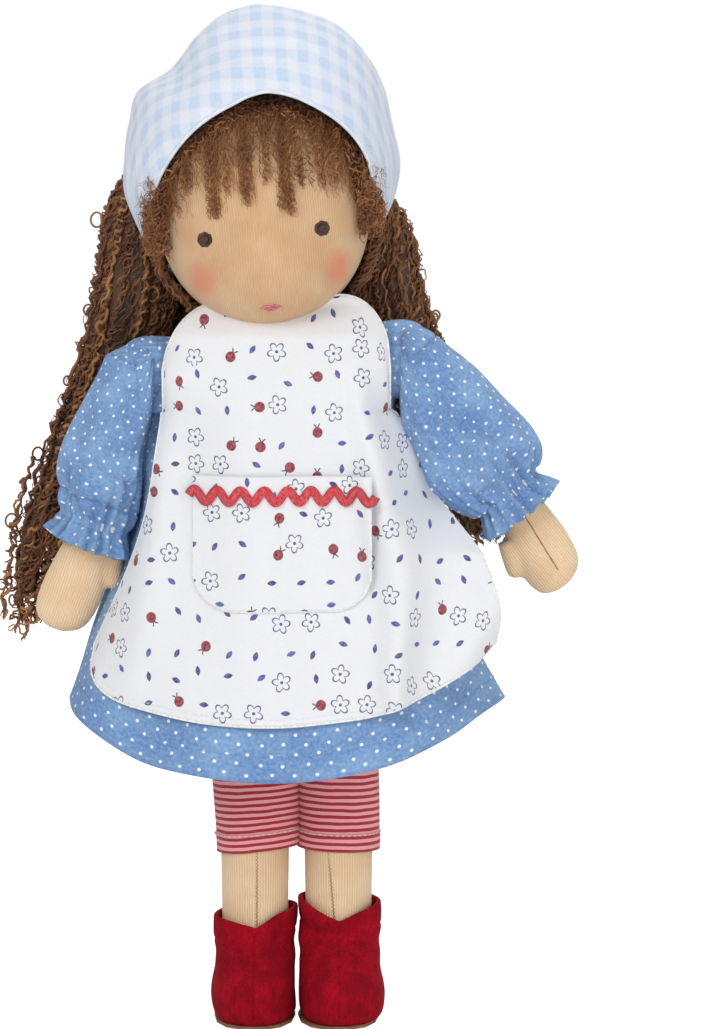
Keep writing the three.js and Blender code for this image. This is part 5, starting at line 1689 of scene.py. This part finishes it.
def make_scarf():
    rows, kept = [], []
    columns, count = 156, 70
    for j in range(columns + 1):
        about = math.radians(lerp(-180, 180, j / columns))
        tries = [math.radians(a) for a in range(20, 176, 2)]
        flags = [scarf_keeps(dome_point(about, a)) for a in tries]
        if not any(flags):
            continue
        first = flags.index(True)
        keep, drop = tries[first], tries[max(first - 1, 0)]
        for _ in range(12):
            middle = (keep + drop) / 2
            if scarf_keeps(dome_point(about, middle)):
                keep = middle
            else:
                drop = middle
        ends = (keep, math.radians(179.2))
        rows.append([dome_point(about, lerp(*ends, i / count)) for i in range(count + 1)])
        kept.append([check_place(*rows[-1][i]) for i in range(count + 1)])
    rows = np.array(rows)
    for j in range(len(rows)):
        side = (2 * j / (len(rows) - 1) - 1) * 180 / 127
        faded = clamped((180 / 127 - abs(side)) / 0.42)
        side = max(-1.0, min(1.0, side))
        for i in range(count + 1):
            share = i / count
            point = rows[j, i]
            away = point - dome_centre
            way = away / np.linalg.norm(away)
            pull = abs(side) ** 1.5
            crease = 1.1 * math.sin(9 * share + 7 * side + 2.2 * math.sin(4 * side)) * pull * faded
            crease *= math.sin(math.pi * min(1, share * 1.1))
            crease += 1.3 * soft_noise(point[0], point[1], point[2], 22.0) * min(1, share * 6)
            hem = 0.8 * bell((share - 0.05) / 0.035)
            lift = 0.8 * faded * bell(share / 0.05) * math.sin(11 * side)
            worn = bell((point[2] - 97) / 11) * (1 if point[1] < 12 else 0)
            worn *= bell(point[0] / 26)
            level = 1.15 * point[2] + 0.07 * point[0] + 1.2 * math.sin(point[0] * 0.09)
            crease += 0.85 * worn * math.sin(level)
            lump = -2.0 * math.exp(-(((point[0] + 48) / 9) ** 2 + ((point[2] - 82) / 9) ** 2))
            lump -= 3.6 * math.exp(-(((point[0] + 30) / 12) ** 2 + ((point[2] - 98) / 11) ** 2))
            crease += lump
            if point[1] > 30:
                crease += 3.0 * clamped((52 - point[2]) / 26) * min(1.0, (point[1] - 30) / 10)
            rows[j, i] = point + way * (crease + hem * 0.5 + lift * 0.5)
    uv = np.array(kept)
    points = np.array([moved(row, on_head) for row in rows])
    scarf = sheet_piece("headscarf_cloth", list(points), 0.7, checked_cotton, uv=uv, outwards=1)
    rim = np.array([points[j, 0] for j in range(len(points))])
    edge = tubes_piece("headscarf_hem", [tube(rim, 0.7, 8)], checked_cotton)
    for obj in (scarf, edge):
        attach(obj, "head")
    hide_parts("headscarf")
    make_ties()


def make_ties():
    for side, sign in sides.items():
        rings = []
        for i in range(31):
            share = i / 30
            turn = lerp(0.12, math.pi / 2 - 5.8 / head_half - 0.16, share)
            z = lerp(24.1, 7.7, share)
            level = min(head_half, math.sqrt(head_half**2 - (head_centre - z) ** 2)) + 1.9
            centre = np.array((sign * level * math.cos(turn), level * math.sin(turn), z))
            out = np.array((centre[0], centre[1], z - head_centre))
            out /= np.linalg.norm(out)
            along = np.array((-sign * math.sin(turn), math.cos(turn), -0.45))
            along /= np.linalg.norm(along)
            across = np.cross(out, along)
            wide = lerp(1.3, 3.4, min(1.0, share / 0.5)) * (1 - 0.25 * math.sin(math.pi * share))
            turns = circle_turns(20)
            crease = 0.25 * np.sin(5 * turns + 3 * share)
            ring = (
                centre + np.outer(wide * np.cos(turns), across)
                + np.outer((0.85 + crease * 0.5) * np.sin(turns), out)
            )
            rings.append(ring)
        tie = form_piece(
            f"scarf_tie_{side}_cloth", [moved(ring, on_head) for ring in rings], checked_cotton
        )
        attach(tie, "head")
        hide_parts("scarf_tie_" + side)
    rings = []
    level = math.sqrt(head_half**2 - (head_centre - 6.6) ** 2)
    for i in range(25):
        share = i / 24
        turn = math.pi * share
        radius = 5.3 * math.sin(turn) ** 0.8 + 0.3
        row = oval(0, 0, -5.2 * math.cos(turn), radius, radius * 0.85, 40)
        for j, point in enumerate(row):
            angle = 2 * math.pi * j / 40
            wrap = 0.6 * math.sin(3 * angle + 5 * share)
            point[0] += wrap * math.cos(angle)
            point[1] += wrap * math.sin(angle)
        rings.append(moved(row + (0, level + 5.6, 6.6), on_head))
    knot = form_piece("scarf_knot_cloth", rings, checked_cotton)
    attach(knot, "head")
    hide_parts("scarf_knot")


# Hair: strands of curly yarn over a base of darker yarn, whose darkness is painted shade between
# the strands
def curly(path, radius, pitch, thickness, seed, count_per_loop=6, sides_count=4, rough=0.5):
    """A yarn that follows a path in uneven crimps.

    Given are the crimps' radius and pitch, and the yarn's half thickness.
    """
    rng = np.random.default_rng(seed)
    path = np.asarray(path, float)
    steps = np.linalg.norm(np.diff(path, axis=0), axis=1)
    along = np.concatenate(([0], np.cumsum(steps)))
    total = along[-1]
    count = max(8, int(total / pitch * count_per_loop))
    at = np.linspace(0, total, count)
    line = np.stack([np.interp(at, along, path[:, k]) for k in range(3)], axis=1)
    speed = (
        1 + 0.45 * np.sin(at / rng.uniform(5, 12) + rng.uniform(0, 6.28))
        + rough * 0.5 * rng.uniform(-1, 1, count)
    )
    turn = rng.uniform(0, 6.28) + np.cumsum(speed) * (2 * math.pi / count_per_loop)
    swing = (
        radius
        * (
            0.7 + 0.4 * np.sin(at / rng.uniform(3, 8) + rng.uniform(0, 6.28))
            + rough * rng.uniform(-0.4, 0.4, count)
        )
    )
    swing *= np.minimum(1, at / 6 + 0.25)
    tangent = np.gradient(line, axis=0)
    tangent /= np.linalg.norm(tangent, axis=1)[:, None] + 1e-9
    side = np.cross(tangent, (0.05, 1.0, 0.1))
    side /= np.linalg.norm(side, axis=1)[:, None] + 1e-9
    other = np.cross(tangent, side)
    wander = 0.9 * np.sin(at / rng.uniform(8, 15) + rng.uniform(0, 6.28)) * min(1.0, radius)
    curl = (
        line + side * (swing * np.cos(turn) + wander)[:, None]
        + other * (swing * 0.8 * np.sin(turn))[:, None]
    )
    curl += tangent * (swing * 0.4 * np.sin(2 * turn + rng.uniform(0, 6.28)))[:, None]
    thick = thickness * (0.85 + 0.25 * np.sin(turn * 0.5)) * np.minimum(1, (total - at) / 4 + 0.35)
    return tube(curl, thick, sides_count)


def small_loop(centre, size, thickness, seed):
    rng = random.Random(seed)
    lean = rng.uniform(-0.9, 0.9)
    turns = np.linspace(0, 2 * math.pi, 15)
    x, z = np.cos(turns) * size, np.sin(turns) * size * 1.15
    ring = np.stack(
        (x * math.cos(lean), x * math.sin(lean) + np.linspace(-0.5, 0.5, 15), z), axis=1
    )
    return tube(np.asarray(centre) + ring, thickness, 5)


def clear_of_dress(points):
    """Keeps hair outside the skirt and bodice at the back."""
    for point in points:
        z = point[2]
        if z < 259:
            if z > waist:
                a, b = bodice_half(z)
            else:
                back = skirt_at(math.pi / 2, z, 0)
                a, b = abs(skirt_at(0.0, z, 0)[0]) + 3, back[1]
            a, b = a + 4.5, b + 4.5
            x = point[0] - dress_x[0]
            if abs(x) < a:
                point[1] = max(point[1], b * math.sqrt(max(0.0, 1 - (x / a) ** 2)))
    return points


def mass_strands(sections, count, seed, keep_back, shortest):
    """Strands over a hanging mass.

    Each is a crimped yarn with a fine one loosely round it, and some have a loop.
    """
    rng = random.Random(seed)
    tubes = []
    for number in range(count):
        far = math.sqrt(rng.uniform(0.5, 1.0))
        angle = rng.uniform(0, 2 * math.pi)
        end = rng.uniform(shortest, 1.0)
        drift = rng.uniform(-0.5, 0.5)
        path = []
        for i in range(15):
            drop = end * i / 14
            x, y, z, a, b = curve_through(sections, drop)
            here = angle + drift * drop
            out = far * (0.94 + 0.12 * drop)
            path.append((x + a * out * math.cos(here), y + b * out * math.sin(here), z))
        path = np.array(path)
        if keep_back:
            path[:, 1] = np.maximum(path[:, 1], keep_back)
        path = clear_of_dress(path)
        tag = seed * 1000 + number
        tubes.append(
            curly(
                path, rng.uniform(0.9, 1.7), rng.uniform(5.0, 8.0), rng.uniform(0.6, 0.95), tag, 7
            )
        )
        tubes.append(
            curly(
                path, rng.uniform(1.5, 2.6), rng.uniform(6.0, 10.0), rng.uniform(0.22, 0.36),
                tag + 500, 7, 3, 0.9
            )
        )
        if rng.random() < 0.4:
            spot = path[rng.randrange(2, 14)]
            way = 1 if spot[0] > sections[3][1] else -1
            centre = spot + (way * rng.uniform(2.0, 4.0), rng.uniform(-1, 2), 0)
            tubes.append(small_loop(centre, rng.uniform(1.5, 2.5), 0.4, tag))
    return tubes


def ringlets(sections):
    """Loose ringlets at the end of the long lock.

    They part from each other, with air between them.
    """
    rng = random.Random(31)
    tubes = []
    for number in range(7):
        aside = lerp(-1.0, 1.0, number / 6)
        path = []
        for i in range(12):
            drop = lerp(0.62, 1.0 + 0.03 * rng.uniform(-1, 1) if i == 11 else 1.0, i / 11)
            x, y, z, a, _ = curve_through(sections, min(drop, 0.93))
            below = max(0.0, drop - 0.93)
            x += aside * (a + 1.5)
            path.append((x - below * 18, y - 2 + 2 * math.sin(number * 2.2), z - below * 176.0))
        for k in range(3):
            strand = np.array(path) + (rng.uniform(-0.7, 0.7), rng.uniform(-1, 1), 0)
            tubes.append(
                curly(
                    strand, rng.uniform(1.3, 2.2), rng.uniform(5.0, 7.5), rng.uniform(0.4, 0.75),
                    700 + number * 5 + k, 8, 4, 0.6
                )
            )
        for k in range(3):
            spot = path[rng.randrange(3, 12)]
            centre = np.array(spot) + (rng.choice((-1, 1)) * rng.uniform(2.0, 3.0), 0, 0)
            tubes.append(small_loop(centre, rng.uniform(1.5, 2.4), 0.42, 800 + number * 5 + k))
    return tubes


def curtain(side, count, seed):
    """Strands that hang from under the scarf beside and behind the jaw."""
    rng = random.Random(seed)
    tubes = []
    for number in range(count):
        near = number % 5 < 3
        turn = rng.uniform(-0.14, 0.5) if near else rng.uniform(0.3, 1.1)
        start, end = rng.uniform(36, 56), rng.uniform(4, 18)
        path = []
        for i in range(11):
            share = i / 10
            z = lerp(start, end, share)
            radius = head_row(max(z, 8.0), 0)[0] + (lerp(2.0, 4.6, share) if near else 3.5)
            here = turn + 0.12 * share
            path.append((sides[side] * radius * math.cos(here), radius * math.sin(here), z))
        for k, (curl, thick) in enumerate(((1.2, 0.7), (1.9, 0.3))):
            tubes.append(
                curly(
                    moved(path, on_head), curl, rng.uniform(5, 8), thick,
                    seed * 500 + number * 2 + k, 7
                )
            )
    return tubes


def lock_sections(shares, top, length, base_x, width, depth):
    return [
        (
            drop, base_x + aside * width / 2, back * depth, top - drop * length, wide * width / 2,
            deep * depth / 2
        )
        for drop, aside, back, wide, deep in shares
    ]


right_lock = lock_sections(
    [
        (0, -0.98, 1.12, 0.3, 0.4), (0.08, -1.1, 1.22, 0.74, 0.85), (0.24, -1.18, 1.35, 0.94, 1),
        (0.41, -1.51, 1.4, 1, 1), (0.6, -2.12, 1.4, 1, 1), (0.78, -2.84, 1.4, 0.83, 0.95),
        (0.93, -3.23, 1.35, 0.61, 0.8), (1, -3.32, 1.3, 0.39, 0.5)
    ],
    317.0, 176.0, -58.0 + 19.8, 36.0, 21.0
)
left_lock = lock_sections(
    [
        (0, 0.1, 1.12, 0.35, 0.4), (0.1, 0.22, 1.22, 0.8, 0.85), (0.26, 0.4, 1.35, 0.95, 1),
        (0.42, 0.86, 1.5, 1, 1), (0.6, 1.63, 1.6, 1, 1), (0.8, 2.55, 1.6, 0.92, 0.95),
        (0.95, 3.2, 1.55, 0.62, 0.8), (1, 3.3, 1.5, 0.4, 0.5)
    ],
    305.4, 133.0, 32.8, 26.0, 18.0
)
back_lock = [
    (drop, lerp(-6.6, -5.0, drop), back * 12, 309.75 - drop * 144, wide * 49, deep * 6)
    for drop, wide, deep, back in (
        (0, 0.45, 0.4, 3.35), (0.13, 0.8, 0.85, 3.35), (0.3, 0.96, 1, 3.15), (0.52, 1, 0.95, 3.05),
        (0.72, 0.98, 0.9, 3.3), (0.92, 0.86, 0.75, 3.75), (1, 0.66, 0.5, 3.85)
    )
]


# a dark form inside each lock, standing in for the shade between its strands
def mass_shade_base(name, sections, shrink, keep_back, longest):
    rows = []
    for i in range(50):
        x, y, z, a, b = curve_through(sections, 0.02 + longest * i / 49)
        row = oval(x, y, z, max(a * shrink, 0.8), max(b * shrink, 0.8), 48)
        for j, point in enumerate(row):
            turn = 2 * math.pi * j / 48
            rope = (
                0.8 * math.sin(9 * turn + z * 0.12)
                + 1.0 * soft_noise(point[0], point[1], z * 0.5, 5.0)
            )
            point[0] += rope * math.cos(turn)
            point[1] += rope * math.sin(turn)
        if keep_back:
            row[:, 1] = np.maximum(row[:, 1], keep_back + 1)
        rows.append(clear_of_dress(row))
    return form_piece(name, rows[::-1], shade_base_mohair)


def swing_with_head(obj):
    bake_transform(obj)


def make_wig():
    base = []
    for i in range(46):
        rise = i / 45
        z = lerp(28.0, 84.0, rise)
        a, b = head_row(min(z, 84.0), 0.0)
        row = oval(0, 0, z, a + 4.6, b + 4.6, 96)
        for point in row:
            inside_face = point[1] < 8 and (z < 47 or arch_share(point[0], z, 39.5, 36.5) < 1)
            turn = math.atan2(point[1], point[0])
            if inside_face:
                point[0], point[1] = (a - 0.6) * math.cos(turn), (b - 0.6) * math.sin(turn)
            else:
                point[0] += 0.5 * math.cos(turn) * math.sin(40 * turn + z)
        base.append(moved(row, on_head))
    # the wig cap takes the dark base yarn, as painted shade under the scarf and hair
    cap = form_piece("wig_cap_shade_yarn", base, shade_base_mohair)
    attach(cap, "head")
    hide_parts("wig_cap")
    locks = (
        # node, sections, strands, seed, how far back, the base's length, the shortest strand
        ("hair_right", right_lock, 84, 21, 16.0, 0.76, 0.74),
        ("hair_left", left_lock, 54, 22, 16.0, 0.93, 0.82),
        ("hair_back", back_lock, 190, 23, None, 0.8, 0.82),
    )
    for name, sections, count, seed, keep, base_length, shortest in locks:
        under = mass_shade_base(name + "_base", sections, 0.8, keep, base_length)
        strands = mass_strands(sections, count, seed, keep, shortest)
        if name == "hair_right":
            strands += ringlets(sections) + curtain("right", 110, 41)
        if name == "hair_left":
            strands += curtain("left", 110, 43)
        # the back hair's strands take the darker copy of the yarn, as painted shade
        strands = tubes_piece(
            name + "_strands", strands, painted_shade_mohair if name == "hair_back" else hair_mohair
        )
        swing_with_head(under)
        swing_with_head(strands)
        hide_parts(name)
        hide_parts(name)
    make_fringe()


def arch_height(x):
    """How high the scarf's edge lies over a place on the brow."""
    share = min(1.0, abs(x - 3.5) / arch_half)
    return arch_foot + arch_rise * max(0, 1 - share**1.6) ** (1 / 1.95)


def on_brow(x, z, lift):
    """A place a lift away from the head, across and up in the head's own frame."""
    z = min(z, 84.5)
    a = head_row(z, lift)[0]
    x = max(-a + 0.2, min(a - 0.2, x))
    return np.array((x, head_surface(x, z, lift), z))


tufts = [
    # tip across and up, spread of the roots, strands
    (-37.5, 37, 5, 34), (-33, 42, 5, 24), (-26, 50, 5, 16), (-16.5, 40, 6.5, 30), (-11, 47, 4, 14),
    (-4.3, 43.5, 5.5, 26),
    (3, 51, 4, 12), (9.6, 38.5, 5.5, 28), (16, 48, 5, 18), (23, 46, 5, 22), (29, 44, 5, 20),
    (35, 40, 4.5, 28), (38, 36, 3, 18),
]


def make_fringe():
    """Fluffy tufts that hang from the scarf's edge, with skin between them.

    A frizzy band runs along the edge itself.
    """
    rng = random.Random(5)
    tubes = []

    def strand(points, *curl):
        tubes.append(curly(moved(points, on_head), *curl))

    for number, (tip_x, tip_z, spread, count) in enumerate(tufts):
        for k in range(count):
            root = max(-40.0, min(40.0, tip_x * 0.98 + rng.gauss(0, spread * 0.55)))
            tip = tip_x + rng.gauss(0, 1.5)
            top = arch_height(root) - rng.uniform(0, 6)
            end = tip_z + abs(rng.gauss(0, 3.5))
            bow = rng.uniform(-1.2, 1.2)
            path = []
            for i in range(9):
                share = i / 8
                x = lerp(root, tip, share**0.8) + bow * math.sin(math.pi * share)
                path.append(
                    on_brow(
                        x, lerp(top, end, share), lerp(3.0, 0.7, share) + rng.uniform(-0.3, 0.3)
                    )
                )
            strand(
                path, rng.uniform(0.5, 1.5), rng.uniform(2.6, 5.0), rng.uniform(0.11, 0.21),
                number * 50 + k, 6, 3, 1.0
            )
    for number in range(300):
        root = rng.uniform(-38, 38)
        top = arch_height(root) - rng.uniform(2, 8)
        end = top - rng.uniform(5, 20)
        tip = root + rng.uniform(-4, 4)
        path = [
            on_brow(lerp(root, tip, i / 6), lerp(top, end, i / 6), rng.uniform(0.8, 3.0))
            for i in range(7)
        ]
        strand(path, 0.8, 4.5, 0.11, 2000 + number, 6, 3, 1.0)
    band = []
    for number in range(620):
        turn = rng.uniform(-0.5, math.pi + 0.5)
        side_share = abs(math.cos(turn))
        inset = rng.uniform(-3.0, lerp(9.5, 5.0, side_share))
        path = []
        for i in range(6):
            here = turn + (i - 2.5) * 0.04 * rng.choice((0.6, 1, 1.4))
            s = math.sin(here)
            x = (arch_half - inset) * math.copysign(abs(math.cos(here)) ** 1.12, math.cos(here))
            x += 3.5 * max(0.0, s)
            z = arch_foot + (arch_rise - inset) * s
            if s < 0:
                x = math.copysign(arch_half - inset, x)
                z = arch_foot + 30 * s
            z += rng.uniform(-1, 1)
            far, near = rng.uniform(4.4, 5.6), rng.uniform(1.6, 4.6)
            path.append(on_brow(x, z, lerp(far, near, min(1.0, max(0.0, inset + 1) / 5))))
        rings = curly(
            moved(path, on_head), rng.uniform(0.8, 1.7), rng.uniform(3.0, 5.5),
            rng.uniform(0.17, 0.42), 3000 + number, 6, 4, 0.9
        )
        (band if rng.random() < 0.65 else tubes).append(rings)
    for number in range(260):
        sign = rng.choice((-1, -1, 1))
        x, z = sign * rng.uniform(36.5, 42), rng.uniform(30, 64)
        path = [
            on_brow(x, z, 4.5) + (
                sign * rng.uniform(0.2, 1.0) * i, -0.4 * i, rng.uniform(-1.0, 0.7) * i
            )
            for i in range(6)
        ]
        strand(path, 0.9, 3.5, rng.uniform(0.12, 0.2), 4000 + number, 6, 3, 1.0)
    frizz = tubes_piece("fringe_frizz", band, frizz_mohair)
    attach(frizz, "head")
    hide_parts("fringe")
    fringe = tubes_piece("fringe_strands", tubes, fringe_mohair)
    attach(fringe, "head")
    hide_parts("fringe")


make_torso()
for side in sides:
    make_leg(side)
    make_arm(side)
    make_sleeve(side)
make_dress()
make_apron()
make_head()

show_solid("neck_thread", eye_thread)
show_solid("cuff_elastic_right", elastic)
show_solid("cuff_elastic_left", elastic)


# Studio: a pale floor, soft lamps and the photograph's camera
def area_lamp(name, place, size, power, aim=(0, 0, 0.19)):
    data = bpy.data.lights.new(name, "AREA")
    data.shape = "DISK"
    data.size = size
    data.energy = power
    lamp = bpy.data.objects.new(name, data)
    lamp.location = place
    lamp.rotation_euler = (Vector(aim) - Vector(place)).to_track_quat("-Z", "Y").to_euler()
    bpy.context.scene.collection.objects.link(lamp)


def make_studio():
    bpy.ops.mesh.primitive_plane_add(size=8)
    floor = bpy.context.object
    floor.name = "studio_floor"
    material, tree, shader = new_material("matt_studio_floor", Roughness=0.9)
    shader.inputs["Base Color"].default_value = linear("#f4f4f4")
    seen = add(tree, "LightPath").outputs["Is Camera Ray"]
    glow = add(tree, "Emission", links={"Color": linear("#ffffff"), "Strength": 1.45}).outputs[0]
    share = math_node(tree, "MULTIPLY", seen, 0.62)
    mix = add(tree, "MixShader", links={0: share, 1: shader.outputs[0], 2: glow}).outputs[0]
    tree.links.new(mix, tree.nodes["Material Output"].inputs["Surface"])
    floor.data.materials.append(material)
    world = bpy.data.worlds.new("studio")
    bpy.context.scene.world = world
    world.use_nodes = True
    tree = world.node_tree
    background = tree.nodes["Background"]
    background.inputs["Color"].default_value = linear("#ffffff")
    seen = add(tree, "LightPath").outputs["Is Camera Ray"]
    strength = stepped(tree, seen, 0.0, 1.0, 0.45, 1.0)
    tree.links.new(strength, background.inputs["Strength"])
    area_lamp("key", (-0.9, -1.5, 1.3), 0.9, 13.5)
    area_lamp("fill", (1.3, -1.3, 0.8), 1.2, 6)
    area_lamp("top", (0.1, 0.4, 1.7), 1.0, 7)
    area_lamp("back", (0.3, 1.5, 0.9), 1.0, 7)
    area_lamp("low", (0.35, -1.3, 0.1), 0.5, 3.6, (0.01, 0, 0.03))
    bpy.context.scene.view_settings.view_transform = "Standard"
    data = bpy.data.cameras.new("camera")
    camera = bpy.data.objects.new("camera", data)
    bpy.context.scene.collection.objects.link(camera)
    tilt = math.radians(5.5)
    distance = 1.6
    tall = 0.3855
    aim = Vector((0.0246, 0.0, 0.1885))
    camera.location = aim + Vector((0, -math.cos(tilt), math.sin(tilt))) * distance
    camera.rotation_euler = (math.pi / 2 - tilt, 0, 0)
    data.sensor_width = 36
    data.lens = 36 * distance / tall
    data.clip_start = 0.05
    bpy.context.scene.camera = camera


make_studio()
bpy.context.view_layer.update()
